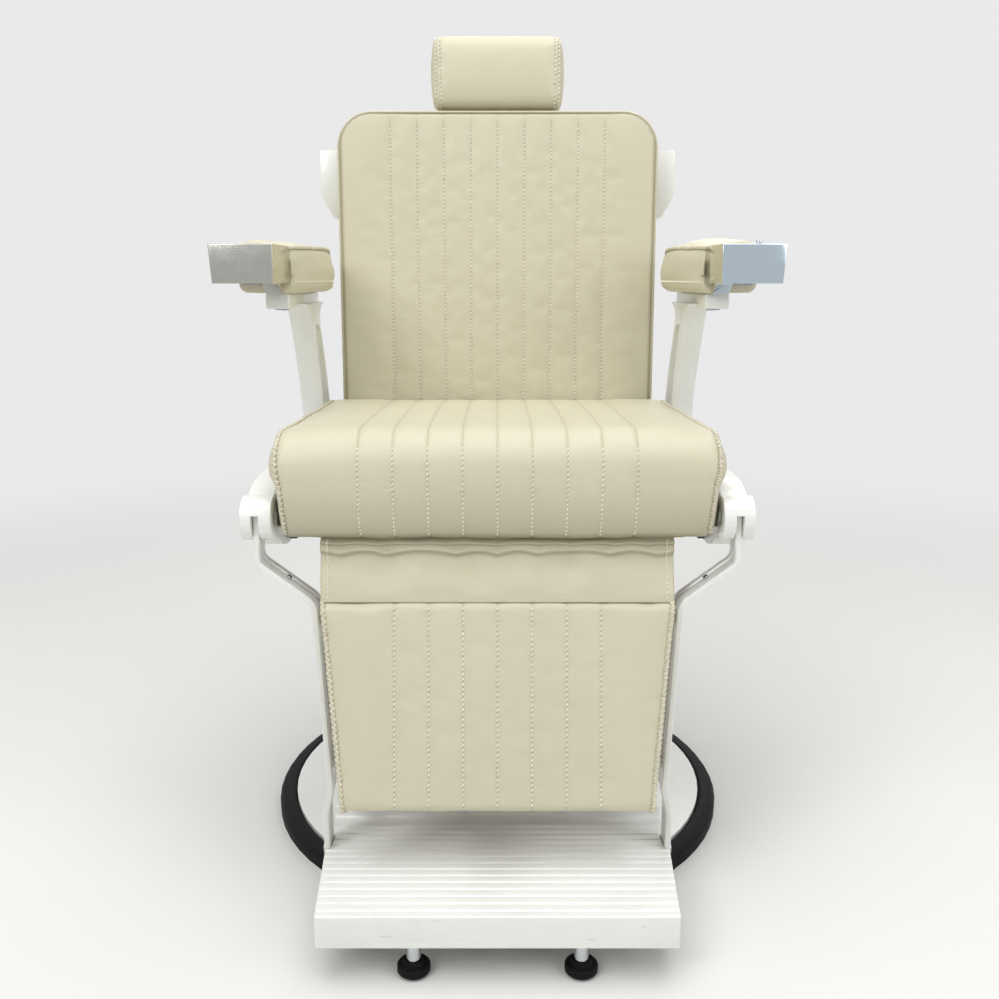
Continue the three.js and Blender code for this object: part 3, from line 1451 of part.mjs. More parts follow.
function headrestCushion() {
  const stations = formStations(headHalfWidth, 14, [], headHalfWidth / 3, 4);
  const extent = (x) => {
    const drop = edgeDrop(headHalfWidth - Math.abs(x), 14);
    return {
      front: headFace + drop,
      back: headFace + headThickness,
      bottom: headBottom + drop,
      top: headBottom + headHeight - drop,
      crown: 3,
    };
  };
  return paddedForm(stations, extent, [20, 20, 14, 14], 2);
}

// ---------------------------------------------------------------- drag links
// The crank pins and the hub pins lie alike from their shafts, so the link keeps level.
function dragLink() {
  const length = backY - hubY;
  const half = linkWidth / 2;
  const neck = Math.sqrt(linkEyeRadius ** 2 - half ** 2);
  const open = Math.atan2(half, neck);
  const shape = new THREE.Shape();
  shape.absarc(0, 0, linkEyeRadius, open, 2 * Math.PI - open, false);
  shape.lineTo(length - neck, -half);
  shape.absarc(length, 0, linkEyeRadius, -Math.PI + open, Math.PI - open, false);
  const bar = acrossX(shape, linkX, linkX + linkThickness, 0, 6);
  const holes = [0, length].map((y) => rodX(linkPinRadius + turnGap, linkX - 5, linkX + linkThickness + 5, y, 0, 16));
  return cut(bar, ...holes).translate(0, hubY + crankY, hubZ + crankZ);
}

// ---------------------------------------------------------------- assembly
piece(chair, "base_plate", basePlate(), steel);
piece(chair, "base_rim", baseRim(), blackRubber);
piece(chair, "base_cover", baseCover(), whitePaint);
piece(chair, "base_bearing", baseBearing(), steel);

piece(chair, "pump_housing", pumpHousing(), whitePaint);
piece(chair, "pump_collar", pumpCollar(), brightMetal);
piece(chair, "pedal_pin", pedalPin(), steel);
piece(chair, "pedal_lever", pedalLever(), brightMetal);
piece(chair, "pedal_tread", pedalTread(), blackRubber);

piece(chair, "pump_ram", pumpRam(), brightMetal);
piece(chair, "seat_mount_plate", seatMountPlate(), blackPaint);
chair.add(seatGroup);
piece(seatGroup, "seat_frame", seatFrame(), blackPaint);
piece(seatGroup, "seat_board", seatBoard(), board);
piece(seatGroup, "seat_cushion", seatCushion(), vinyl);
pair(seatGroup, "side_casting", sideCasting(), whitePaint);
pair(seatGroup, "hub_pin", hubPin(), whitePaint);
pair(seatGroup, "back_bush", backBush(), bronze);
pair(seatGroup, "arm_pad", armPad(), vinyl);
pair(seatGroup, "arm_block", armBlock(), brightMetal);
piece(seatGroup, "arm_block_knob", armKnob(), brightMetal);
piece(seatGroup, "recline_brake", reclineBrake(), blackPaint);
piece(seatGroup, "recline_lever", reclineLever(), brightMetal);
piece(seatGroup, "recline_grip", leverGrip(), blackRubber);

pair(seatGroup, "legrest_bar", legrestBar(), whitePaint);
piece(seatGroup, "legrest_frame", legrestFrame(), whitePaint);
seatGroup.add(padGroup);
piece(padGroup, "leg_pad", legPad(), vinyl);
piece(padGroup, "leg_pad_board", legPadBoard(), board);
piece(seatGroup, "leg_skirt", legSkirt(), vinyl);
piece(seatGroup, "footplate", footplate(), whitePaint);
pair(seatGroup, "foot_post", footPost(), brightMetal);
pair(seatGroup, "foot_pad", footPad(), blackRubber);
pair(seatGroup, "footplate_bolt", footBolt(), steel);

seatGroup.add(backGroup, crankGroup);
piece(backGroup, "back_shaft", backShaft(), steel);
piece(backGroup, "back_frame", backFrame(), blackPaint);
pair(crankGroup, "back_crank", backCrank(), steel);
piece(backGroup, "back_board", backBoard(), whitePaint);
piece(backGroup, "backrest_cushion", backCushion(), vinyl);
pair(backGroup, "handle_bracket", handleBracket(), whitePaint);
piece(backGroup, "handle_rail", handleRail(), brightMetal);
piece(backGroup, "headrest_guide", headrestGuide(), blackPaint);
piece(backGroup, "headrest_post", headrestPost(), brightMetal);
piece(backGroup, "headrest_board", headrestBoard(), blackPaint);
piece(backGroup, "headrest_cushion", headrestCushion(), vinyl);
pair(seatGroup, "drag_link", dragLink(), steel);

export default chair;
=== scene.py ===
# Barber chair: sewn vinyl cushions, piping, thread, enamel and metal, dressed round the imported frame.
import math
from functools import partial

import bpy
import numpy as np
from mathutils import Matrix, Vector, noise


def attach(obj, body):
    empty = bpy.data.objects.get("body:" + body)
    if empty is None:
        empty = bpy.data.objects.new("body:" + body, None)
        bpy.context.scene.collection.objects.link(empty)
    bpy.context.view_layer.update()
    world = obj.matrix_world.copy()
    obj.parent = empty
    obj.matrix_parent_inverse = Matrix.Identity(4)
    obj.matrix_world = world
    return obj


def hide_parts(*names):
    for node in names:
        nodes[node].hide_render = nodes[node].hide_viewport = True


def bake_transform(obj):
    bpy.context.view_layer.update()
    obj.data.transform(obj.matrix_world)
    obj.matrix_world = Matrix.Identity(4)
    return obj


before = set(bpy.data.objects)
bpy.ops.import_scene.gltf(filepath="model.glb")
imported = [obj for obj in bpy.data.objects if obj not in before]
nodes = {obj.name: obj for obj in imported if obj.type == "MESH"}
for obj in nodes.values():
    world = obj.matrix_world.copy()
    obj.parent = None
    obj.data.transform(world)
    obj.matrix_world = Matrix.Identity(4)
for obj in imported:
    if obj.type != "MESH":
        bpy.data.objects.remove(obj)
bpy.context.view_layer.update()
print("frame loaded:", len(nodes), "nodes")

mm = 0.001
bothSides = ((1, "right"), (-1, "left"))

# camera, floor and light
view = {
    "place": (0.0, -1.426, 0.77),  # metres, in front of the chair at chest height
    "pitch": 12.5,  # degrees down
    # the chair stands two pixels left of the middle
    "optics": {"lens": 36.04, "sensor_width": 36, "shift_x": 0.002, "clip_start": 0.01},
}
studio = {
    "floor": "#e9e9e6",
    "floorReach": 8.0,  # metres from the chair to each edge
    "fade": (1.0, 2.9),  # metres from the chair over which the floor turns into the backdrop
    "backdrop": 0.82,
    "ambient": 0.32,
    # name, place, target, size and power of each soft panel
    "panels": (
        ("ceiling panel", (0, -0.5, 3.1), (0, -0.1, 0.5), (3.4, 3.0), 70),
        ("key panel", (-1.9, -2.4, 2.6), (0, 0, 0.6), (1.3, 1.3), 35),
        ("fill panel", (2.4, -1.8, 1.8), (0, 0, 0.5), (1.8, 1.8), 20),
        ("back panel", (0.6, 2.8, 2.6), (0, 0, 0.6), (2.2, 1.6), 24),
    ),
}


def linearColour(code):
    parts = [int(code[i : i + 2], 16) / 255 for i in (1, 3, 5)]
    straight = [p / 12.92 if p <= 0.04045 else ((p + 0.055) / 1.055) ** 2.4 for p in parts]
    return (*straight, 1.0)


# Sets and links a node's sockets. A colour is an sRGB hex value, and a node stands for its first output.
def connect(node, links=None, values=None):
    for key, value in (values or {}).items():
        node.inputs[key].default_value = linearColour(value) if isinstance(value, str) else value
    for key, source in (links or {}).items():
        node.id_data.links.new(getattr(source, "outputs", [source])[0], node.inputs[key])


# Adds one node. A shader node's kind is short for its whole name.
def addNode(tree, kind, links=None, values=None, **settings):
    node = tree.nodes.new(kind if "Node" in kind else "ShaderNode" + kind)
    for key, value in settings.items():
        setattr(node, key, value)
    connect(node, links, values)
    return node


# A new material, what adds a node to it, its shader, and the place on the object as a socket.
def startMaterial(name, values):
    material = bpy.data.materials.new(name)
    material.use_nodes = True
    add = partial(addNode, material.node_tree)
    shader = material.node_tree.nodes["Principled BSDF"]
    connect(shader, values=values)
    return material, add, shader, add("TexCoord").outputs["Object"]


def addObject(name, data):
    item = bpy.data.objects.new(name, data)
    bpy.context.scene.collection.objects.link(item)
    return item


def placeCamera():
    camera = addObject("camera", bpy.data.cameras.new("camera"))
    camera.location = view["place"]
    camera.rotation_euler = (math.radians(90 - view["pitch"]), 0, 0)
    for key, value in view["optics"].items():
        setattr(camera.data, key, value)
    bpy.context.scene.camera = camera


# 1 where the backdrop itself is seen: by the camera, in a mirror or through glass
def seenShare(add):
    path = add("LightPath").outputs
    seen = add("Math", {0: path["Is Camera Ray"], 1: path["Is Transmission Ray"]}, operation="MAXIMUM")
    return add("Math", {0: seen, 1: path["Is Glossy Ray"]}, operation="MAXIMUM")


def buildStudio():
    scene = bpy.context.scene
    scene.view_settings.view_transform = "Standard"
    scene.world = bpy.data.worlds.new("studio")
    scene.world.use_nodes = True
    scene.world.node_tree.nodes.clear()
    add = partial(addNode, scene.world.node_tree)
    strength = add("Mix", {0: seenShare(add)}, {2: studio["ambient"], 3: studio["backdrop"]})
    backing = add("Background", {"Strength": strength}, {"Color": (1, 1, 1, 1)})
    add("OutputWorld", {"Surface": backing})

    mesh = bpy.data.meshes.new("floor")
    reach = studio["floorReach"]
    corners = [(-reach, -reach, 0), (reach, -reach, 0), (reach, reach, 0), (-reach, reach, 0)]
    mesh.from_pydata(corners, [], [(0, 1, 2, 3)])
    floor = addObject("floor", mesh)
    look = {"Base Color": studio["floor"], "Roughness": 0.9, "Specular IOR Level": 0.2}
    paper, add, shader, where = startMaterial("matt paper floor", look)
    # far from the chair the paper is as bright as the backdrop, so that no horizon shows
    far = add("VectorMath", {0: where}, operation="LENGTH").outputs["Value"]
    near, end = studio["fade"]
    fade = {"From Min": near, "From Max": end}
    fading = add("MapRange", {"Value": far}, fade, interpolation_type="SMOOTHSTEP")
    share = add("Math", {0: seenShare(add), 1: fading}, operation="MULTIPLY")
    glow = add("Emission", values={"Color": (1, 1, 1, 1), "Strength": studio["backdrop"]})
    both = add("MixShader", {0: share, 1: shader, 2: glow})
    connect(paper.node_tree.nodes["Material Output"], {"Surface": both})
    mesh.materials.append(paper)

    for name, place, target, size, power in studio["panels"]:
        lamp = bpy.data.lights.new(name, "AREA")
        lamp.shape = "RECTANGLE"
        lamp.size, lamp.size_y = size
        lamp.energy = power
        holder = addObject(name, lamp)
        holder.location = place
        holder.rotation_euler = (Vector(target) - Vector(place)).to_track_quat("-Z", "Y").to_euler()


placeCamera()
buildStudio()
print("studio ready")

# materials
colours = {
    "vinyl": "#d4cfb7", "vinylTone": "#cbc5ac", "paintedVinylShade": "#8f876c", "thread": "#fffdf3",
    "threadShade": "#f6f0dd", "enamel": "#f3f4f0", "enamelTone": "#e8e9e4", "scuff": "#c9cac4",
    "rubber": "#0a0a0b", "rubberDust": "#161718", "chrome": "#c6cacd", "chromeBlueReflection": "#b8c6d0",
    "aluminium": "#adaea8", "paintedSideReflection": "#dcd8ca", "steel": "#9ea1a4",
    "blackEnamel": "#232528", "ply": "#b9925f", "plyDark": "#8f6b40", "bronze": "#a9814a",
    "shell": "#ecebe4",
}


# A pattern's scale from the size in millimetres of one of its marks.
def perMetre(size):
    return 1000 / size


# Uneven patches of this size that run from one colour to another, and the colour as a socket.
def mottled(add, where, size, detail, grit, first, second):
    look = {"Scale": perMetre(size), "Detail": detail, "Roughness": grit}
    patches = add("TexNoise", {"Vector": where}, look)
    ends = {6: colours[first], 7: colours[second]}
    return patches, add("Mix", {0: patches}, ends, data_type="RGBA").outputs[2]


# PVC on knitted cloth, embossed with a fine hide grain: a soft, slightly broken sheen
def embossedVinyl():
    look = {"Coat Weight": 0.06, "Coat Roughness": 0.35}
    material, add, shader, where = startMaterial("embossed PVC vinyl", look)
    patches, tone = mottled(add, where, 111, 4, 0.6, "vinyl", "vinylTone")
    # painted shade: the crease attribute darkens the vinyl towards a dark tone in the seams, beside welts and
    # piping, and under edges
    crease = add("Attribute", attribute_name="crease").outputs["Fac"]
    depth = add("Math", {0: crease}, {1: 0.34}, operation="MULTIPLY")
    paintedShadeColour = add("Mix", {0: depth, 6: tone}, {7: colours["paintedVinylShade"]}, data_type="RGBA")
    shine = add("TexNoise", {"Vector": where}, {"Scale": perMetre(28.6), "Detail": 5})
    rough = add("MapRange", {"Value": shine}, {"To Min": 0.38, "To Max": 0.56})
    # the real grain is 0.9 mm across, drawn at 2 mm so that it shows
    grain = add("TexVoronoi", {"Vector": where}, {"Scale": perMetre(2)}, feature="DISTANCE_TO_EDGE")
    low = add("Math", {0: grain.outputs["Distance"]}, {1: 0.25}, operation="MINIMUM")
    # rumples 17 mm across and 45 mm long
    pull = add("Mapping", {"Vector": where}, {"Scale": (60, 22, 22)})
    rumple = add("TexNoise", {"Vector": pull}, {"Scale": 1, "Detail": 4})
    soft = add("Bump", {"Height": rumple}, {"Strength": 0.32, "Distance": 0.002})
    fine = add("Bump", {"Height": low, "Normal": soft}, {"Strength": 0.22, "Distance": 0.0006})
    connect(shader, {"Base Color": paintedShadeColour.outputs[2], "Roughness": rough, "Normal": fine})
    return material


# bonded polyester thread, three plies laid together: matt, with a slanting twist every 0.7 mm
def bondedThread():
    material, add, shader, where = startMaterial("bonded polyester thread", {"Roughness": 0.6})
    look = {"Scale": 900, "Distortion": 0.6}
    twist = add("TexWave", {"Vector": where}, look, bands_direction="DIAGONAL")
    laid = add("Bump", {"Height": twist}, {"Strength": 0.4, "Distance": 0.0002})
    ends = {6: colours["threadShade"], 7: colours["thread"]}
    shade = add("Mix", {0: twist}, ends, data_type="RGBA")
    connect(shader, {"Base Color": shade.outputs[2], "Normal": laid})
    return material


# enamel sprayed and baked on a cast part: glossy, with a faint orange peel and dull handled patches
def bakedEnamel(name, peel, worn):
    look = {"Coat Weight": 0.35, "Coat Roughness": 0.12}
    material, add, shader, where = startMaterial(name, look)
    patches, tone = mottled(add, where, 71.4, 5, 0.65, "enamel", "enamelTone")
    # rubbed streaks 2 to 6 mm wide and 36 mm long
    drag = add("Mapping", {"Vector": where}, {"Scale": (28, 420, 160), "Rotation": (0, 0, 0.5)})
    marks = add("TexNoise", {"Vector": drag}, {"Scale": 1, "Detail": 3})
    rub = {"From Min": 0.66, "From Max": 0.76, "To Min": 0.0, "To Max": worn}
    rubbed = add("MapRange", {"Value": marks}, rub)
    coat = add("Mix", {0: rubbed, 6: tone}, {7: colours["scuff"]}, data_type="RGBA")
    rough = add("MapRange", {"Value": patches}, {"To Min": 0.22, "To Max": 0.42})
    # orange peel 3 mm across
    skin = add("TexNoise", {"Vector": where}, {"Scale": perMetre(3.03), "Detail": 2})
    bump = add("Bump", {"Height": skin}, {"Strength": peel, "Distance": 0.0005})
    connect(shader, {"Base Color": coat.outputs[2], "Roughness": rough, "Normal": bump})
    return material


# black rubber from a mould: matt, with pale dust in its pores
def mouldedRubber():
    material, add, shader, where = startMaterial("moulded black rubber", {"Specular IOR Level": 0.12})
    dust, tone = mottled(add, where, 16.7, 8, 0.7, "rubber", "rubberDust")
    rough = add("MapRange", {"Value": dust}, {"To Min": 0.45, "To Max": 0.75})
    # pores of 0.3 mm, drawn at 1.1 mm so that they show
    pores = add("TexNoise", {"Vector": where}, {"Scale": perMetre(1.11), "Detail": 3})
    bump = add("Bump", {"Height": pores}, {"Strength": 0.25, "Distance": 0.0004})
    connect(shader, {"Base Color": tone, "Roughness": rough, "Normal": bump})
    return material


# a metal worked in one direction: fine lines stretched along the stroke, and smudges where it is held
def workedMetal(name, colour, roughness, stroke, lineStrength, smudge, metallic=1.0):
    look = {"Base Color": colours[colour], "Metallic": metallic}
    material, add, shader, where = startMaterial(name, look)
    drag = add("Mapping", {"Vector": where}, {"Scale": stroke, "Rotation": (0.05, 0.12, 0.08)})
    lines = add("TexNoise", {"Vector": drag}, {"Scale": 1, "Detail": 6, "Roughness": 0.7})
    held = add("TexNoise", {"Vector": where}, {"Scale": perMetre(22.2), "Detail": 4})
    both = add("Math", {0: lines, 1: held}, operation="MULTIPLY")
    ends = {"To Min": roughness - smudge, "To Max": roughness + smudge}
    rough = add("MapRange", {"Value": both}, {"From Min": 0.1, "From Max": 0.45, **ends})
    bump = add("Bump", {"Height": lines}, {"Strength": lineStrength, "Distance": 0.0003})
    connect(shader, {"Roughness": rough, "Normal": bump})
    return material


# Painted reflection: the sides of a block are tinted cream, as if mirroring the vinyl beside them.
def paintSideReflections(material):
    add = partial(addNode, material.node_tree)
    shader = material.node_tree.nodes["Principled BSDF"]
    facing = add("NewGeometry").outputs["True Normal"]
    across = add("SeparateXYZ", {0: facing}).outputs["X"]
    side = add("Math", {0: across}, operation="ABSOLUTE")
    onSide = add("Math", {0: side}, {1: 0.8}, operation="GREATER_THAN")
    ends = {6: shader.inputs["Base Color"].default_value, 7: colours["paintedSideReflection"]}
    tone = add("Mix", {0: onSide}, ends, data_type="RGBA")
    connect(shader, {"Base Color": tone.outputs[2]})


# birch plywood: long grain on the faces, and dark glue lines every 3 mm at the edges
def birchPly():
    material, add, shader, where = startMaterial("birch plywood", {"Roughness": 0.65})
    # grain 6 mm wide and 170 mm long
    drag = add("Mapping", {"Vector": where}, {"Scale": (6, 160, 160)})
    grain = add("TexNoise", {"Vector": drag}, {"Scale": 1, "Detail": 6, "Distortion": 0.4})
    layers = add("TexWave", {"Vector": where}, {"Scale": 105}, bands_direction="Z")
    both = add("Math", {0: grain, 1: layers}, operation="MULTIPLY")
    tone = add("Mix", {0: both}, {6: colours["ply"], 7: colours["plyDark"]}, data_type="RGBA")
    bump = add("Bump", {"Height": grain}, {"Strength": 0.3, "Distance": 0.0004})
    connect(shader, {"Base Color": tone.outputs[2], "Normal": bump})
    return material


# vacuum-formed ABS with a sand-blasted mould's texture: an even, dull pebble 2.4 mm across
def formedShell():
    material, add, shader, where = startMaterial("vacuum formed ABS", {"Base Color": colours["shell"]})
    pebble = add("TexVoronoi", {"Vector": where}, {"Scale": perMetre(2.381)}).outputs["Distance"]
    bump = add("Bump", {"Height": pebble}, {"Strength": 0.3, "Distance": 0.0005})
    haze = add("TexNoise", {"Vector": where}, {"Scale": perMetre(50), "Detail": 4})
    rough = add("MapRange", {"Value": haze}, {"To Min": 0.42, "To Max": 0.6})
    connect(shader, {"Roughness": rough, "Normal": bump})
    return material


vinyl = embossedVinyl()
thread = bondedThread()
castEnamel = bakedEnamel("baked enamel on castings", 0.16, 0.25)
treadEnamel = bakedEnamel("baked enamel, walked on", 0.22, 0.9)
sheetEnamel = bakedEnamel("baked enamel on spun sheet", 0.06, 0.3)
rubber = mouldedRubber()
# name, colour, roughness, marks per metre each way, depth of the lines, smudges
chrome = workedMetal("polished chrome plate", "chrome", 0.1, (40, 40, 400), 0.02, 0.05)
# painted reflection: the right block's chrome is tinted blue
chromeBlueReflection = workedMetal("polished chrome plate, painted blue reflection", "chromeBlueReflection", 0.13, (30, 300, 500), 0.05, 0.06)
aluminium = workedMetal("hand brushed aluminium", "aluminium", 0.3, (45, 500, 900), 0.35, 0.12)
paintSideReflections(chromeBlueReflection)
paintSideReflections(aluminium)
steel = workedMetal("machined steel", "steel", 0.34, (300, 300, 900), 0.25, 0.1)
# powder coat is a baked resin, so it isn't metallic: an even, dull, slightly pimpled black
blackEnamel = workedMetal("black powder coat", "blackEnamel", 0.5, (300, 300, 300), 0.35, 0.08, 0.0)
bronze = workedMetal("sintered bronze", "bronze", 0.42, (700, 700, 700), 0.3, 0.08)
ply = birchPly()
shell = formedShell()
print("materials ready")

# rigid pieces: finish and edges
finishes = (
    (steel, "base_plate base_bearing pedal_pin footplate_bolt back_shaft back_crank drag_link"),
    (rubber, "base_rim pedal_tread recline_grip foot_pad"),
    (sheetEnamel, "base_cover"),
    (castEnamel, "pump_housing side_casting hub_pin legrest_bar legrest_frame handle_bracket"),
    (treadEnamel, "footplate"),
    (chrome, "pump_collar pump_ram pedal_lever arm_block_knob recline_lever foot_post"),
    (chrome, "handle_rail headrest_post"),
    (blackEnamel, "seat_mount_plate seat_frame recline_brake back_frame headrest_guide headrest_board"),
    (ply, "seat_board leg_pad_board"),
    (bronze, "back_bush"),
    (chromeBlueReflection, "arm_block_right"),
    (aluminium, "arm_block_left"),
    (shell, "back_board"),
)
# width in mm of the rounding on each piece's edges
edgeRounding = {
    "side_casting": 1.2, "legrest_bar": 0.6, "footplate": 0.7, "arm_block": 0.5,
    "handle_bracket": 1.2, "back_board": 2.0, "pedal_lever": 1.0, "recline_lever": 0.8,
    "seat_frame": 1.0, "back_frame": 0.8,
}
sharpAngle = 32  # degrees, past which an edge isn't shaded smooth
roundedAngle = 38  # degrees, past which it is rounded


def smoothingTree():
    tree = bpy.data.node_groups.new("smooth by angle", "GeometryNodeTree")
    for way in ("INPUT", "OUTPUT"):
        tree.interface.new_socket("Geometry", in_out=way, socket_type="NodeSocketGeometry")
    add = partial(addNode, tree)
    angle, limit = add("GeometryNodeInputMeshEdgeAngle"), math.radians(sharpAngle)
    sharp = add("FunctionNodeCompare", {0: angle}, {1: limit}, operation="GREATER_THAN")
    setSmooth = "GeometryNodeSetShadeSmooth"
    smooth = add(setSmooth, {"Geometry": add("NodeGroupInput")}, domain="FACE")
    parts = {"Geometry": smooth, "Selection": sharp}
    edges = add(setSmooth, parts, {"Shade Smooth": False}, domain="EDGE")
    add("NodeGroupOutput", {0: edges})
    return tree


def dressFrame():
    smoothing = smoothingTree()
    finishOf = {part: finish for finish, parts in finishes for part in parts.split()}
    for name, item in nodes.items():
        root = name.removesuffix("_left").removesuffix("_right")
        finish = finishOf.get(name) or finishOf.get(root)
        if finish is None:
            continue  # a soft solid, which a sewn piece replaces
        for i in range(len(item.data.materials)):
            item.data.materials[i] = finish
        if not item.data.materials:
            item.data.materials.append(finish)
        item.modifiers.new("weld", "WELD").merge_threshold = 0.02 * mm
        if root in edgeRounding:
            rounding = item.modifiers.new("rounding", "BEVEL")
            rounding.width = edgeRounding[root] * mm
            rounding.segments = 2
            rounding.limit_method = "ANGLE"
            rounding.angle_limit = math.radians(roundedAngle)
            rounding.use_clamp_overlap = True
        item.modifiers.new("smooth", "NODES").node_group = smoothing


dressFrame()
print("frame dressed")


# sewn forms
# Everything below is in millimetres from the seat's own zero, 48 mm ahead of the pump's axis,
# and is turned to metres in the frame when a mesh is made.
seatForward = 48.0


def newPiece(name, points, faces, material, body, slot="cream_vinyl"):
    mesh = bpy.data.meshes.new(name)
    placed = (np.asarray(points, float) - [0, seatForward, 0]) * mm
    mesh.from_pydata([tuple(p) for p in placed], [], faces)
    mesh.materials.append(material)
    mesh.polygons.foreach_set("use_smooth", [True] * len(mesh.polygons))
    mesh.update()
    piece = addObject(name, mesh)
    if body:
        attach(piece, body)
    return piece


def ease(value, start, end):
    t = np.clip((np.asarray(value, float) - start) / (end - start), 0, 1)
    return t * t * (3 - 2 * t)


# Turns points by some degrees round a line across the chair, given by its y and z.
def tilted(points, degrees, axis):
    c, s = math.cos(math.radians(degrees)), math.sin(math.radians(degrees))
    x, y, z = np.asarray(points, float).T
    return np.column_stack([x, axis[0] + y * c + z * s, axis[1] - y * s + z * c])


# How far a rounded edge has dropped at a point this far inside it.
def edgeDrop(inside, radius):
    inside = min(max(inside, 0), radius)
    return radius - math.sqrt(max(0, radius**2 - (radius - inside) ** 2))


def unit(rows):
    return rows / np.maximum(1e-9, np.linalg.norm(rows, axis=1))[:, None]


def seamDistance(x, seams):
    return np.min(np.abs(np.subtract.outer(x, seams)), axis=-1, initial=1e3)


def seamPlaces(count, pitch):
    return [(i - (count - 1) / 2) * pitch for i in range(count)]


# what a sewn piece has unless it says otherwise, in millimetres
usual = {
    "pitch": 41.0,  # between seams
    "stride": 8.0,  # between stations where there are no seams
    "cornerSteps": 8,
    "pucker": 0.4,  # beside the stitches
    "rumple": 0.9,  # broad unevenness
    "fixed": (5, 6, 7),  # zones that rest on the frame
    "fill": 0.85,
}
besideSeam = (0, 0.9, 2.1, 4, 7, 11, 15.5)  # stations on both sides of each seam
capRings = 7  # rings that close each end


# Stations across the form: close together at each seam and round each end.
def stationsFor(spec):
    half, seams, endRadius = spec["half"], spec["seams"], spec["endRadius"]
    gap, stride = spec["pitch"] / 2, spec["stride"]
    places = [seam + sign * d for seam in seams for d in (*besideSeam, gap) for sign in (1, -1)]
    outer = list(np.arange(seams[-1] + gap + stride if seams else 0, half - endRadius, stride))
    outer += [half - endRadius + endRadius * math.sin(t * math.pi / 2) for t in np.linspace(0, 1, 9)]
    places = np.unique(np.round(places + outer + [-x for x in outer], 2))
    places = places[np.abs(places) <= half + 1e-6]
    keep = [places[0]]
    for x in places[1:]:
        if x - keep[-1] > 0.45 or abs(x) == half:
            keep.append(x)
    return np.array(keep)


# One ring round the section. Its zones are 0 front bottom corner, 1 front, 2 front top corner,
# 3 top, 4 back top corner, 5 back, 6 back bottom corner and 7 bottom.
def ringFor(spec, x):
    front, back, bottom, top, topBack = spec["sides"](x)
    steps, (upright, level) = spec["cornerSteps"], spec["counts"]
    limit = 0.49 * min(back - front, min(top, topBack) - bottom)
    fb, ft, bt, bb = [min(r, limit) for r in spec["radii"]]
    legs = (
        (front + fb, bottom + fb, fb, 270, (front, bottom + fb), (front, top - ft), upright),
        (front + ft, top - ft, ft, 180, (front + ft, top), (back - bt, topBack), level),
        (back - bt, topBack - bt, bt, 90, (back, topBack - bt), (back, bottom + bb), upright),
        (back - bb, bottom + bb, bb, 0, (back - bb, bottom), (front + fb, bottom), level),
    )
    rows = []  # y, z, zone, share of the zone
    for i, (y, z, radius, start, p, q, count) in enumerate(legs):
        for k in range(steps + 1):
            a = math.radians(start - 90 * k / steps)
            rows.append((y + radius * math.cos(a), z + radius * math.sin(a), 2 * i, k / steps))
        for t in (k / (count + 1) for k in range(1, count + 1)):
            rows.append((p[0] + (q[0] - p[0]) * t, p[1] + (q[1] - p[1]) * t, 2 * i + 1, t))
    rows = np.array(rows)
    return rows[:, :2], rows[:, 2].astype(int), rows[:, 3]


# The whole form as a grid of points, stations by ring, with how far each point lies in a crease.
def formGrid(spec):
    xs = stationsFor(spec)
    seed = spec["seed"]
    grid, creases = [], []
    for x in xs:
        ring, zone, along = ringFor(spec, x)
        tangent = unit(np.roll(ring, -1, axis=0) - np.roll(ring, 1, axis=0))
        outward = np.stack([-tangent[:, 1], tangent[:, 0]], axis=1)
        arc = np.cumsum(np.linalg.norm(np.diff(ring, axis=0, prepend=ring[:1]), axis=1))
        sewn = spec["sewn"](zone, along)
        gap = float(seamDistance(x, spec["seams"]))
        # a narrow groove in a wide dip
        groove = 0.55 * math.exp(-gap / 2.4) + 0.45 * max(0, 1 - 2 * gap / spec["pitch"]) ** 2
        push = -spec["seamDepth"] * groove * sewn
        # small puckers that run out sideways from each line of stitches
        pucker = np.array([noise.noise(Vector((0.03 * x, 0.16 * s, seed))) for s in arc])
        push += spec["pucker"] * pucker * math.exp(-gap / 9) * sewn
        places = [Vector((0.012 * x, 0.012 * p[0], 0.012 * p[1] + seed)) for p in ring]
        push += spec["rumple"] * np.array([noise.noise(place) for place in places])
        for which, rise in spec["crown"].items():
            crown = rise * 4 * along * (1 - along) * (1 - (x / spec["half"]) ** 2)
            push += np.where(zone == which, crown, 0)
        moved = ring + outward * push[:, None]
        grid.append(np.column_stack([np.full(len(moved), x), moved]))
        creases.append(sewn * math.exp(-((gap / 1.15) ** 2)))
    return xs, np.array(grid), np.array(creases), zone, along


# Adds the side faces as shrinking rings that bulge a little, then the two middle points.
def closeEnds(grid, bulge):
    ends = []
    for ring, sign in ((grid[0], -1), (grid[-1], 1)):
        middle = ring.mean(axis=0)
        store = []
        for k in range(1, capRings + 1):
            share = 1 - k / (capRings + 0.6)
            inner = middle + (ring - middle) * share
            inner[:, 0] = ring[:, 0] + sign * bulge * (1 - share**2)
            store.append(inner)
        ends.append(store)
    rings = np.array(ends[0][::-1] + list(grid) + ends[1])
    return rings, [rings[0].mean(axis=0), rings[-1].mean(axis=0)]


def formFaces(rings, around):
    faces = []
    first, last, top = rings * around, rings * around + 1, (rings - 1) * around
    for i in range(rings - 1):
        for j in range(around):
            a, b, k = i * around, (i + 1) * around, (j + 1) % around
            faces.append((a + j, b + j, b + k, a + k))
    for j in range(around):
        k = (j + 1) % around
        faces += [(first, j, k), (last, top + k, top + j)]
    return faces


# Stores painted shade in the crease attribute, which darkens the vinyl.
def setPaintedShade(piece, values):
    layer = piece.data.attributes.new("crease", "FLOAT", "POINT")
    layer.data.foreach_set("value", np.asarray(values, np.float32))


def pointsOf(mesh):
    flat = np.empty(len(mesh.vertices) * 3, np.float32)
    mesh.vertices.foreach_get("co", flat)
    return flat.reshape(-1, 3)


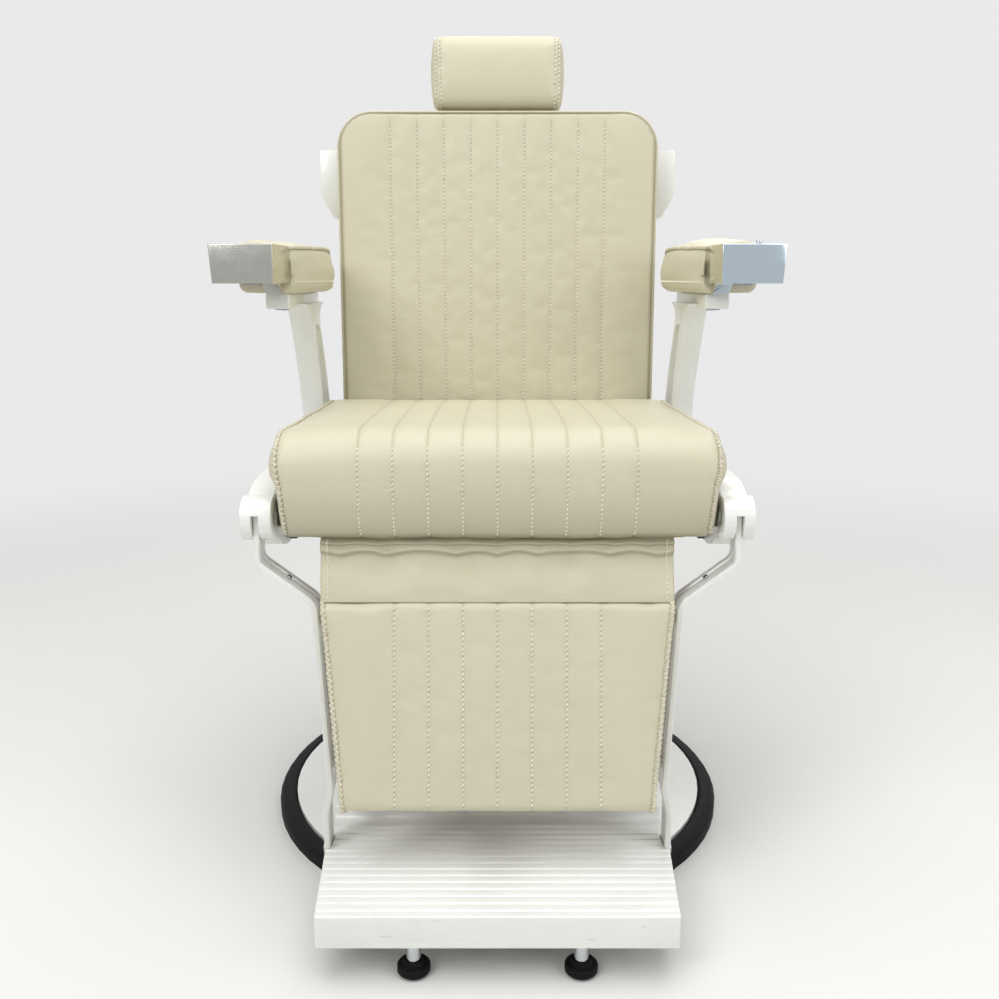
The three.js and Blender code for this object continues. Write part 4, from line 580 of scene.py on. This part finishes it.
stuffing = {
    "quality": 6, "mass": 0.4, "tension_stiffness": 28, "compression_stiffness": 28,
    "shear_stiffness": 14, "bending_stiffness": 1.2, "air_damping": 4,
    "use_pressure": True,
    "shrink_min": -0.004,  # the cover is cut a little large, so it puckers
    "vertex_group_mass": "sewn", "pin_stiffness": 1,
}
stuffingFrames = 14


# Blows the cover up a little against its seams, as the foam does, and caps how far a point moves.
def stuff(piece, pinned, pressure, most):
    mesh = piece.data
    before = pointsOf(mesh)
    group = piece.vertex_groups.new(name="sewn")
    for weight in (0.4, 1.0):
        group.add([i for i, w in enumerate(pinned) if w >= weight], weight, "REPLACE")
    cloth = piece.modifiers.new("stuffing", "CLOTH")
    for key, value in stuffing.items():
        setattr(cloth.settings, key, value)
    cloth.settings.uniform_pressure_force = pressure
    cloth.settings.effector_weights.gravity = 0
    cloth.collision_settings.use_collision = False
    scene = bpy.context.scene
    for timed in (scene, cloth.point_cache):
        timed.frame_start, timed.frame_end = 1, stuffingFrames
    for step in range(1, stuffingFrames + 1):
        scene.frame_set(step)
    shown = piece.evaluated_get(bpy.context.evaluated_depsgraph_get())
    move = pointsOf(shown.data) - before
    piece.modifiers.remove(cloth)
    piece.vertex_groups.remove(group)
    scene.frame_set(1)
    size = np.maximum(1e-9, np.linalg.norm(move, axis=1))
    move *= (most * mm * np.tanh(size / (most * mm)) / size)[:, None]
    mesh.vertices.foreach_set("co", (before + move).ravel())
    mesh.update()


# Makes a stuffed, sewn piece from its spec, with the thread of its seams. Returns it with its
# stations, its grid of points in millimetres and the zone of each point of a ring.
def sewnPiece(name, body, node, spec):
    spec = {**usual, **spec}
    spec.setdefault("seams", seamPlaces(spec.get("seamCount", 0), spec["pitch"]))
    xs, grid, creases, zone, along = formGrid(spec)
    rings, tips = closeEnds(grid, spec["bulge"])
    stations, around = grid.shape[:2]
    flat = np.vstack([rings.reshape(-1, 3), tips])
    faces = formFaces(len(rings), around)
    piece = newPiece(name, spec["place"](flat), faces, vinyl, None)
    form = slice(capRings * around, (capRings + stations) * around)
    crease = np.zeros(len(flat))
    crease[form] = creases.ravel()
    # painted shade that a piece adds away from its seams
    if "paintedShade" in spec:
        crease = np.maximum(crease, spec["paintedShade"](flat))
    setPaintedShade(piece, crease)
    # held at the seams, where it meets the frame and, more loosely, on its end panels
    held = np.zeros((len(rings), around))
    middle = held[capRings : capRings + stations]
    middle[:] = np.outer(seamDistance(xs, spec["seams"]) < 0.3, spec["sewn"](zone, along) > 0.5)
    held[:, np.isin(zone, spec["fixed"])] = 1
    middle[np.abs(np.abs(xs) - spec["half"]) < spec["endRadius"] * 0.3] = 1
    for cap in (held[:capRings], held[-capRings:]):
        np.maximum(cap, 0.4, out=cap)
    stuff(piece, np.append(held.ravel(), [1, 1]), spec["pressure"], spec["most"])
    final = pointsOf(piece.data)[form].reshape(stations, around, 3) / mm + [0, seatForward, 0]
    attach(piece, body)
    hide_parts(node)
    if "stitched" in spec:
        picked, store = spec["stitched"](zone, along), ([], [])
        for seam in spec["seams"]:
            station = stationAt(xs, seam)
            stitchRow(final[station][picked], upsAt(final, station)[picked], store)
        newPiece(name.replace("cover", "thread"), *store, thread, body)
    return piece, xs, final, zone


# thread, welts and piping
stitch = {"pitch": 6.0, "length": 4.2, "radius": 0.94, "lift": 0.8, "slant": 0.42, "sides": 6}
# along, thickness, height: the ends sink into the vinyl
stitchRings = ((-0.5, 0.25, -0.9), (-0.36, 0.85, -0.15), (0, 1, 0.12), (0.36, 0.85, -0.15), (0.5, 0.25, -0.9))
whip = {"thick": 0.45, "sides": 5, "steps": 9, "slant": 2.6, "lift": 0.2}
gather = {"lumps": 0.36, "pitch": 6.5, "sides": 12}


def lengthsAlong(line):
    return np.concatenate([[0], np.cumsum(np.linalg.norm(np.diff(line, axis=0), axis=1))])


def sample(marks, places, values):
    return np.column_stack([np.interp(marks, places, values[:, k]) for k in range(3)])


def evenly(points, step):
    points = np.asarray(points, float)
    lengths = lengthsAlong(points)
    marks = np.linspace(0, lengths[-1], max(2, int(lengths[-1] / step) + 1))
    return sample(marks, lengths, points)


# Frames along a line: how it runs, and which way is up from the surface.
def framesAlong(points, ups, closed=False):
    ahead = np.roll(points, -1, axis=0) - np.roll(points, 1, axis=0)
    run = unit(ahead if closed else np.gradient(points, axis=0))
    ups = unit(ups - np.sum(ups * run, axis=1)[:, None] * run)
    return run, np.cross(run, ups), ups


# Faces of a tube whose rings of points follow each other, with flat ends unless it is a loop.
def tubeFaces(rings, sides, start=0, closed=False):
    faces = []
    for i in range(rings if closed else rings - 1):
        a, b = start + i * sides, start + (i + 1) % rings * sides
        for k in range(sides):
            n = (k + 1) % sides
            faces.append((a + k, a + n, b + n, b + k))
    if not closed:
        faces.append(tuple(start + k for k in reversed(range(sides))))
        faces.append(tuple(start + (rings - 1) * sides + k for k in range(sides)))
    return faces


def turnsRound(sides):
    return [2 * math.pi * k / sides for k in range(sides)]


def ringPoints(centre, across, up, radius, sides):
    return [centre + radius * (math.cos(a) * across + math.sin(a) * up) for a in turnsRound(sides)]


# Each stitch is a short rounded length of thread.
def stitchRow(line, ups, store, spec=stitch):
    points, faces = store
    lengths = lengthsAlong(line)
    marks = np.arange(spec["pitch"], lengths[-1] - spec["pitch"] / 2, spec["pitch"])
    run, side, up = framesAlong(sample(marks, lengths, line), sample(marks, lengths, ups))
    for centre, t, s, u in zip(sample(marks, lengths, line), run, side, up):
        faces += tubeFaces(len(stitchRings), spec["sides"], len(points))
        t = t + s * spec["slant"]
        t = t / np.linalg.norm(t)
        for along, thick, height in stitchRings:
            middle = centre + t * spec["length"] * along + u * (spec["lift"] + spec["radius"] * height)
            points += ringPoints(middle, s, u, spec["radius"] * thick, spec["sides"])


# A round cord under vinyl. With lumps it is a gathered, whipped edge, and without them smooth piping.
def weltPiece(name, line, ups, radius, body, closed=False, lumps=0.0):
    run, side, up = framesAlong(line, ups, closed)
    lengths = lengthsAlong(line)
    points, shade = [], []
    for i, centre in enumerate(line):
        for a in turnsRound(gather["sides"]):
            shade.append(1.6 - 1.6 * float(ease(math.sin(a), 0.0, 0.5)))  # dark where it meets the cover
            wave = math.sin(2 * math.pi * lengths[i] / gather["pitch"] + a)
            wobble = 0.25 * noise.noise(Vector((lengths[i] * 0.11, a, radius)))
            size = radius * (1 + lumps * wave + wobble * (1 if lumps else 0.25))
            points.append(centre + size * (math.cos(a) * side[i] + math.sin(a) * up[i]))
    faces = tubeFaces(len(line), gather["sides"], closed=closed)
    setPaintedShade(newPiece(name, points, faces, vinyl, body), shade)


# Loops of thread that go over a welt at a slant, one in each of its valleys.
def whipStitches(name, line, ups, radius, body, hand):
    run, side, up = framesAlong(line, ups)
    lengths = lengthsAlong(line)
    points, faces = [], []
    sides, steps = whip["sides"], whip["steps"]
    for mark in np.arange(gather["pitch"] * 0.75, lengths[-1] - 3, gather["pitch"]):
        i = int(np.argmin(np.abs(lengths - mark)))
        path = []
        for a in np.radians(np.linspace(-20, 200, steps)):
            out = math.cos(a) * side[i] + math.sin(a) * up[i]
            slant = run[i] * hand * whip["slant"] * math.cos(a)
            path.append(line[i] + (radius + whip["lift"]) * out + slant)
        path = np.array(path)
        along, across, lift = framesAlong(path, path - line[i])
        faces += tubeFaces(steps, sides, len(points))
        for j in range(steps):
            points += ringPoints(path[j], across[j], lift[j], whip["thick"], sides)
    newPiece(name, points, faces, thread, body)


def stationAt(xs, place):
    return int(np.argmin(np.abs(xs - place)))


# The outward direction of the grid's surface at one station, for thread that lies on it.
def upsAt(grid, station):
    low, high = max(0, station - 3), min(len(grid) - 1, station + 3)
    alongRing = np.roll(grid[station], -1, axis=0) - np.roll(grid[station], 1, axis=0)
    return unit(np.cross(grid[high] - grid[low], alongRing))


# The points of the front between a share of its lower corner and a share of its upper one.
def downFront(zone, along, low, high):
    return np.flatnonzero((zone == 1) | (zone == 0) & (along > low) | (zone == 2) & (along < high))


# Whipped edges where the front panel meets the side panels.
def whippedEdges(part, body, xs, grid, ring, spec, lean=0.0):
    for side, name in bothSides:
        station = stationAt(xs, side * (spec["half"] - spec["weltInset"]))
        line, ups = grid[station][ring], upsAt(grid, station)[ring]
        path = evenly(line, 1.5)
        lift = sample(np.linspace(0, 1, len(path)), np.linspace(0, 1, len(line)), ups)
        lift += np.array([side * lean, 0, 0])
        radius = spec["weltRadius"]
        weltPiece(f"{part}_welt_{name}", path, lift, radius, body, lumps=gather["lumps"])
        whipStitches(f"{part}_whip_{name}", path, lift, radius, body, side)


# seat
seat = {
    "half": 266, "endRadius": 16, "sideSwell": 6, "frontNarrow": 7, "lip": 18,
    "front": -236.5, "back": 205.5, "bottom": 475.6, "topFront": 591.5,
    "topBack": 583, "topSwell": 5.5, "seamCount": 9, "seamDepth": 2.5,
    "radii": (50, 48, 18, 6), "counts": (16, 58), "crown": {1: 0.6, 3: 4.5},
    "bulge": 1, "pressure": 3.5, "most": 3, "seed": 3.1, "weltRadius": 3,
    "weltInset": 6.5,
}


def seatSides(x):
    drop = edgeDrop(seat["half"] - abs(x), seat["endRadius"])
    top = seat["topFront"] + seat["topSwell"] * (1 - abs(x / seat["half"]) ** 4) - 1.25 * drop
    front, back, bottom = seat["front"] + 0.9 * drop, seat["back"] - 0.5 * drop, seat["bottom"] + 0.35 * drop
    return front, back, bottom, top, seat["topBack"] - 1.25 * drop


# Draws the front in towards its lower edge, lets the sides swell over the rails, and
# turns the front's lower edge down before the board.
def seatPlace(points):
    points = np.array(points, float)
    x, y, z = points[:, 0].copy(), points[:, 1], points[:, 2]
    plain = seat["seamCount"] / 2 * usual["pitch"]
    beyond = np.clip(np.abs(x) - plain, 0, None) / (seat["half"] - plain)
    narrow = seat["frontNarrow"] * (1 - ease(z, 478, 592)) * (1 - ease(y, -228, -180))
    swell = seat["sideSwell"] * ease(z, 527, 548) * (1 - ease(z, 558, 590)) * (1 - ease(y, 60, 112))
    swell = swell * ease(np.abs(x), seat["half"] - 12, seat["half"] - 0.5)
    points[:, 0] = x + np.sign(x) * (swell - narrow * beyond)
    points[:, 2] = z - seat["lip"] * (1 - ease(y, -214.5, -206.5)) * (1 - ease(z, 484, 520))
    return points


def paintedShadeBelow(points):
    # painted shade, darker towards the front's lower edge
    low = 1 - ease(points[:, 2], 480, 534)
    return 0.85 * low * (1 - ease(points[:, 1], -215, -180))


def sewnOverFront(zone, along):
    # down the front face to its lower edge, and over the top to the back
    return np.where(np.isin(zone, (1, 2, 3)), 1.0, np.where(zone == 0, along, 0.0))


def makeSeat():
    shape = {"sides": seatSides, "place": seatPlace, "sewn": sewnOverFront, "paintedShade": paintedShadeBelow}
    spec = {**seat, **shape, "stitched": lambda *ring: downFront(*ring, 0.25, 0.6)}
    _, xs, grid, zone = sewnPiece("seat_cover", "seat", "seat_cushion", spec)
    whippedEdges("seat", "seat", xs, grid, np.flatnonzero(zone <= 4), spec, lean=0.5)


makeSeat()
print("seat made")

# back
back = {
    "axis": (235, 489),  # y and z of the shaft it turns on
    "lean": 2.6,  # degrees
    "half": 244.5, "face": -26.5, "rear": 45.7, "bottom": 37.5, "top": 527.5,
    "corner": 52, "endRadius": 52, "lowCorner": 26, "edge": 9, "seamCount": 9,
    "seamDepth": 2.3, "radii": (8, 8, 8, 8), "counts": (74, 12), "crown": {1: 4.0},
    "pucker": 0.22, "rumple": 0.4, "bulge": 0.5, "pressure": 3, "most": 2.6,
    "seed": 7.7, "fixed": (4, 5, 6), "pipingRadius": 2.2,
}


def leaning(points):
    return tilted(points, back["lean"], back["axis"])


def backSides(x):
    inside = back["half"] - abs(x)
    top = back["top"] - edgeDrop(inside, back["corner"])
    bottom = back["bottom"] + edgeDrop(inside, back["lowCorner"])
    return back["face"] + edgeDrop(inside, back["edge"]), back["rear"], bottom, top, top


def sewnBelowTop(zone, along):
    # the first 10 mm under the top edge are plain
    face = 1 - ease(along, 0.972, 0.995)
    return np.where(zone == 1, face, np.where(zone == 0, along, 0.0))


def besidePiping(points):
    # painted shade in the narrow strip of the front beside the piping, measured from the rounded outline
    x, y, z = np.abs(points[:, 0]), points[:, 1], points[:, 2]
    high = z > (back["top"] + back["bottom"]) / 2
    corner = np.where(high, back["corner"], back["lowCorner"])
    dx = x - (back["half"] - corner)
    dz = np.where(high, z - (back["top"] - corner), (back["bottom"] + corner) - z)
    away = np.hypot(np.maximum(dx, 0), np.maximum(dz, 0)) + np.minimum(np.maximum(dx, dz), 0)
    return 2.0 * (1 - ease(corner - away, 3.4, 5.6)) * (y < back["face"] + back["edge"])


# The back's outline, its four corners rounded.
def roundedLoop(half, bottom, top, lowCorner, corner, step):
    points = []
    for start, side, high in ((0, 1, True), (90, -1, True), (180, -1, False), (270, 1, False)):
        radius = corner if high else lowCorner
        x, z = side * (half - radius), top - radius if high else bottom + radius
        for a in np.radians(np.linspace(start, start + 90, 13)):
            points.append((x + radius * math.cos(a), 0.0, z + radius * math.sin(a)))
    return evenly(points + points[:1], step)[:-1]


def makeBack():
    shape = {"sides": backSides, "place": leaning, "sewn": sewnBelowTop, "paintedShade": besidePiping}
    spec = {**back, **shape, "stitched": lambda zone, along: np.flatnonzero((zone == 1) & (along < 0.982))}
    sewnPiece("back_cover", "back", "backrest_cushion", spec)
    half, bottom, top = back["half"] - 1, back["bottom"] + 1, back["top"] - 1
    loop = roundedLoop(half, bottom, top, back["lowCorner"], back["corner"], 3.0)
    loop[:, 1] = back["face"] + 3.2
    ups = loop - [0, 0, (back["bottom"] + back["top"]) / 2]
    ups[:, 1] = -60
    line = leaning(loop)
    weltPiece("back_piping", line, leaning(loop + ups) - line, back["pipingRadius"], "back", closed=True)


makeBack()
print("back made")

# headrest
head = {
    "half": 99, "endRadius": 12, "face": -27, "rear": 27, "bottom": 533.5,
    "top": 638,
    "endRows": (6.5, 12.5),  # from each end, two rows of stitches
    "pitch": 6, "stride": 6, "seamDepth": 0.9, "radii": (20, 20, 12, 12),
    "counts": (14, 8), "crown": {1: 4.5, 3: 4.5, 7: 2.0}, "pucker": 1, "rumple": 1.5,
    "bulge": 3, "pressure": 4, "most": 3, "seed": 11.3, "fixed": (5,),
    "fill": 0.8,
}


def headSides(x):
    drop = edgeDrop(head["half"] - abs(x), head["endRadius"])
    top = head["top"] - drop
    return head["face"] + drop, head["rear"] - 0.3 * drop, head["bottom"] + drop, top, top


# its rear rests on the board, and the stitches run under it and over the front to the top
headShape = {
    "sides": headSides,
    "place": leaning,
    "seams": sorted(side * (head["half"] - inset) for side in (-1, 1) for inset in head["endRows"]),
    "sewn": lambda zone, along: np.where(zone == 5, 0.0, 1.0),
    "stitched": lambda zone, along: np.concatenate([np.flatnonzero(zone == 7), np.flatnonzero(zone <= 3)]),
}
sewnPiece("headrest_cover", "headrest", "headrest_cushion", {**head, **headShape})
print("headrest made")

# leg pad
leg = {
    "corner": (-247, 395),  # y and z of its top front edge
    "tilt": 12,  # degrees
    "half": 212, "endRadius": 6, "taper": 25.5, "length": 252, "thickness": 33.6,
    "seamCount": 7, "seamDepth": 2.2, "radii": (12, 12, 4, 4), "counts": (40, 5),
    "crown": {1: 3.0}, "bulge": 1, "pressure": 3, "most": 2.4, "seed": 5.9,
    "weltRadius": 2.9, "weltInset": 3.2,
}


def tiltedPad(points):
    x, y, z = np.asarray(points, float).T
    last = leg["seamCount"] / 2 * usual["pitch"]
    room = leg["half"] - last
    # the sewn lines stay parallel, and only the outer panels narrow towards the bottom
    narrow = leg["taper"] * np.clip(-z / leg["length"], 0, 1) / room
    x = x - np.sign(x) * np.maximum(0, np.abs(x) - last) * narrow
    return tilted(np.column_stack([x, y, z]), leg["tilt"], leg["corner"])


def legSides(x):
    drop = edgeDrop(leg["half"] - abs(x), leg["endRadius"])
    return 0.5 + drop, leg["thickness"], -leg["length"] + 0.6 * drop, -0.6 * drop, -0.6 * drop


def sewnOnFace(zone, along):
    return np.select([zone == 1, zone == 2, zone == 0], [1.0, 1 - along, along], 0.0)


def makeLegPad():
    shape = {"sides": legSides, "place": tiltedPad, "sewn": sewnOnFace}
    spec = {**leg, **shape, "stitched": lambda *ring: downFront(*ring, 0.4, 0.6)}
    _, xs, grid, zone = sewnPiece("leg_pad_cover", "legrest", "leg_pad", spec)
    whippedEdges("leg_pad", "legrest", xs, grid, np.flatnonzero(zone <= 2), spec)


makeLegPad()
print("leg pad made")

# skirt between the seat and the leg pad
skirt = {
    "half": 213.5, "lowHalf": 210,
    "top": (-206.8, 465),  # y and z
    "thickness": 1.4, "hem": 11, "stitchInset": 9, "rows": 111, "columns": 150,
    # depth below the top, how far it stands out, scallop, waves per mm
    "folds": ((10, 4.5, 2, 0.021), (21, 6, 5, 0.015)),
}


def skirtLine():
    foot = tiltedPad([[0, 5.0, -1.2]])[0, 1:]
    start = np.array(skirt["top"])
    t = np.linspace(0, 1, skirt["rows"])[:, None]
    curve = (1 - t) ** 3 * start + 3 * t * (1 - t) ** 2 * (start + [-4, -26])
    return curve + 3 * t * t * (1 - t) * (foot + [5, 26]) + t**3 * foot


# The slack is gathered under the seat in two shallow folds, each with a scalloped lower edge.
def gathered(x, depth):
    rise = 0.0
    for place, stand, scallop, waves in skirt["folds"]:
        drift = 1.3 * noise.noise(Vector((x * 0.009, place, 2.0)))
        edge = place + scallop * (0.5 - abs(math.sin(math.pi * (x * waves + drift))))
        rise += stand * float(ease(depth, edge - place * 0.8, edge) * (1 - ease(depth, edge, edge + 1.6)))
    return rise


def makeSkirt():
    line = skirtLine()
    down, run = lengthsAlong(line), unit(np.gradient(line, axis=0))
    rows, columns, half, thickness = [skirt[key] for key in ("rows", "columns", "half", "thickness")]
    across = np.linspace(-half, half, columns)
    fronts, backs = [], []
    for i, (y, z) in enumerate(line):
        t = i / (rows - 1)
        width = 1 + (skirt["lowHalf"] / half - 1) * t
        for x in across * width:
            # loose waves below the fixed top edge, dying out where the pad holds it
            wave = 2.6 * math.sin(x * 0.055 + 2.2 * noise.noise(Vector((x * 0.012, 0, 4.0))))
            wave += 2.2 * noise.noise(Vector((x * 0.03, t * 3.0, 9.0)))
            wave *= math.sin(math.pi * t * 1.15) ** 0.8 if t * 1.15 < 1 else 0
            hem = 0.7 if half * width - abs(x) < skirt["hem"] else 0.0
            hem += gathered(x, down[i])
            for store, shift in ((fronts, wave + thickness / 2 + hem), (backs, wave - thickness / 2)):
                store.append((x, y - abs(run[i][1]) * shift, z - run[i][0] * shift))
    far = rows * columns  # where the rear layer's points start
    faces = []
    for i in range(rows - 1):
        for a in range(i * columns, (i + 1) * columns - 1):
            b = a + columns
            faces += [(a, b, b + 1, a + 1), (far + a, far + a + 1, far + b + 1, far + b)]
        a, b = i * columns, (i + 2) * columns - 1
        faces.append((a, far + a, far + a + columns, a + columns))
        faces.append((b, far + b, far + b - columns, b - columns))
    for a in range(columns - 1):
        b = (rows - 1) * columns + a
        faces += [(a, a + 1, far + a + 1, far + a), (far + b, far + b + 1, b + 1, b)]
    piece = newPiece("leg_skirt_cloth", fronts + backs, faces, vinyl, None)
    # painted shade from the seat's edge, darkest at the top of the skirt
    paintedShade = 0.35 + 0.85 * (1 - ease(down, 6, 52))
    setPaintedShade(piece, np.tile(np.repeat(paintedShade, columns), 2))
    store = ([], [])
    for x in (-half + skirt["stitchInset"], half - skirt["stitchInset"]):
        row = np.array(fronts[stationAt(across, x) :: columns])
        finer = {**stitch, "radius": 0.7, "lift": 0.5}
        stitchRow(row, np.tile([0.0, -1.0, 0.0], (rows, 1)), store, finer)
    threads = newPiece("leg_skirt_thread", *store, thread, None)
    for item in (piece, threads):
        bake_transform(item)
    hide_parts("leg_skirt")
    print("skirt made,", round(float(down[-1]), 1), "mm long")


makeSkirt()

# arm pads
arm = {
    "outer": 350.5, "widest": 244.5, "widestAt": 110, "frontDraw": 35,
    "backDraw": 26, "bottom": 749.6, "top": 820,
    "fall": 14,  # of the top towards the back
    "fallFrom": 70, "front": 4.6, "back": 247, "frontRadius": 5,
    "endRadius": 34, "stride": 6, "cornerSteps": 6, "seamDepth": 0,
    "radii": (12, 20, 20, 12), "counts": (10, 16), "crown": {1: 2, 3: 5, 5: 3.0},
    "rumple": 1.6, "bulge": 1, "pressure": 4, "most": 3, "fixed": (7,),
    "weltRadius": 2.9, "weltLift": 1.4,
}
armMiddle = (arm["front"] + arm["back"]) / 2
armHalf = (arm["back"] - arm["front"]) / 2


def armInner(y):
    away, room = y - arm["widestAt"], arm["back"] - arm["widestAt"]
    draw, reach = (arm["backDraw"], room) if away >= 0 else (arm["frontDraw"], arm["widestAt"])
    return arm["widest"] + draw * (away / reach) ** 2


# Stations run along the pad, x from its middle to the back, and its width lies along y.
def armSides(x):
    y = x + armMiddle
    towardsBack = x > 0
    drop = edgeDrop(armHalf - abs(x), arm["endRadius" if towardsBack else "frontRadius"])
    top = arm["top"] - arm["fall"] * ((y - arm["fallFrom"]) / (arm["back"] - arm["fallFrom"])) ** 2
    top -= (0.5 if towardsBack else 0.8) * drop
    bottom = arm["bottom"] + (0.15 * drop if towardsBack else 0)
    return -arm["outer"] + 0.6 * drop, -armInner(y) - 0.5 * drop, bottom, top, top - 4


def makeArmPad(side, name):
    spec = {
        **arm,
        "half": armHalf,
        "sides": armSides,
        "sewn": lambda zone, along: np.zeros(len(zone)),
        "place": lambda p: np.column_stack([-side * p[:, 1], p[:, 0] + armMiddle, p[:, 2]]),
        "seed": 13.0 + side,
    }
    piece, _, grid, zone = sewnPiece("arm_cover_" + name, "seat", "arm_pad_" + name, spec)
    if side < 0:
        piece.data.flip_normals()
    # a welt up the back end and along the inner and outer top edges
    topInner, backEnd, topOuter = [np.flatnonzero(zone == which) for which in (4, 5, 2)]
    inner, outer = [grid[:, edge[len(edge) // 2]] for edge in (topInner, topOuter)]
    rising = grid[1, backEnd[::-1][3:]]
    path = evenly(np.vstack([rising, inner[1:], outer[::-1][:-1]]), 2.5)
    ups = path - grid.mean(axis=(0, 1))
    ups[:, 2] = np.abs(ups[:, 2]) + 25
    ups = unit(ups)
    weltPiece("arm_welt_" + name, path + arm["weltLift"] * ups, ups, arm["weltRadius"], "seat")
    store = ([], [])
    stitchRow(grid[:, backEnd[-1]], np.tile([-float(side), 0.0, 0.0], (len(grid), 1)), store)
    newPiece("arm_thread_" + name, *store, thread, "seat")


for side, name in bothSides:
    makeArmPad(side, name)
print("arm pads made")


# small fasteners
# Rings of a head: radius, height, and six for a hexagon.
socketRings = ((1.0, 0.0, 0), (1.0, 0.86, 0), (0.88, 1.0, 0), (0.55, 1.0, 6), (0.52, 0.45, 6))
# on its washer, with the chamfer turned on its corners
hexRings = ((1.5, 0, 0), (1.5, 0.16, 0), (1.42, 0.22, 0), (1, 0.22, 6), (1, 0.9, 6), (0.86, 1, 0), (0.5, 1, 0))
lean = math.radians(back["lean"])
below, above, inward, slope = (0, 0, -1), (0, 0, 1), (-1, 0, 0), (-0.61, 0, 0.79)
behind = (0, math.cos(lean), -math.sin(lean))
# name with the side and a tag, rings, radius, height, the way it faces, body, and a place for each tag,
# all for the right side; the places on the back are those of the upright back
fasteners = (
    ("block_screw_{1}_{0}", socketRings, 5.5, 2.2, below, "seat",
     {"front": (318, -76, 762.9), "back": (318, -24, 762.9)}),
    ("saddle_screw_{1}_{0}", socketRings, 5.5, 2.0, below, "seat",
     {"front": (294, 30, 727.9), "back": (306, 46, 727.9)}),
    ("back_frame_bolt_{0}_{1}", hexRings, 5.0, 4.0, behind, "back",
     {0: (126, 80.7, 110), 1: (126, 80.7, 420)}),
    ("shell_screw_{0}_{1}", socketRings, 4.2, 2.0, behind, "back",
     {0: (226, 56.2, 72), 1: (226, 56.2, 190), 2: (226, 56.2, 308)}),
    ("flange_bolt_{0}_{1}", hexRings, 4.6, 4.2, above, "pump", {0: (49, 82, 46.3), 1: (49, 14, 46.3)}),
    ("frame_bolt_{0}_{1}_front", hexRings, 4.0, 3.6, inward, "seat",
     {0: (261.7, -107.5, 450), 1: (261.7, 92.5, 450)}),
    ("frame_bolt_{0}_{1}_back", hexRings, 4.0, 3.6, inward, "seat",
     {0: (261.7, -68.5, 450), 1: (261.7, 131.5, 450)}),
    ("stop_bolt_{0}", socketRings, 3.6, 3.0, slope, "legrest", {"": (253.5, -213, 414.2)}),
)


def boltHead(name, rings, place, direction, radius, height, body):
    turn = Vector((0, 0, 1)).rotation_difference(Vector(direction).normalized()).to_matrix()
    sides, flat = 24, math.pi / 3
    points = []
    for size, high, corners in rings:
        for a in turnsRound(sides):
            hexagon = math.cos(flat / 2) / math.cos(a % flat - flat / 2)
            r = radius * size * (hexagon if corners else 1)
            spot = turn @ Vector((r * math.cos(a), r * math.sin(a), height * high))
            points.append(np.array(spot) + np.array(place))
    material = chrome if body == "legrest" else steel
    piece = newPiece(name, points, tubeFaces(len(rings), sides), material, body, "machined_steel")
    piece.data.polygons.foreach_set("use_smooth", [False] * len(piece.data.polygons))


for side, sideName in bothSides:
    for name, rings, radius, height, (across, *rest), body, places in fasteners:
        for tag, (x, y, z) in places.items():
            place = leaning([[side * x, y, z]])[0] if body == "back" else (side * x, y, z)
            boltHead(name.format(sideName, tag), rings, place, (side * across, *rest), radius, height, body)
print("fasteners made")
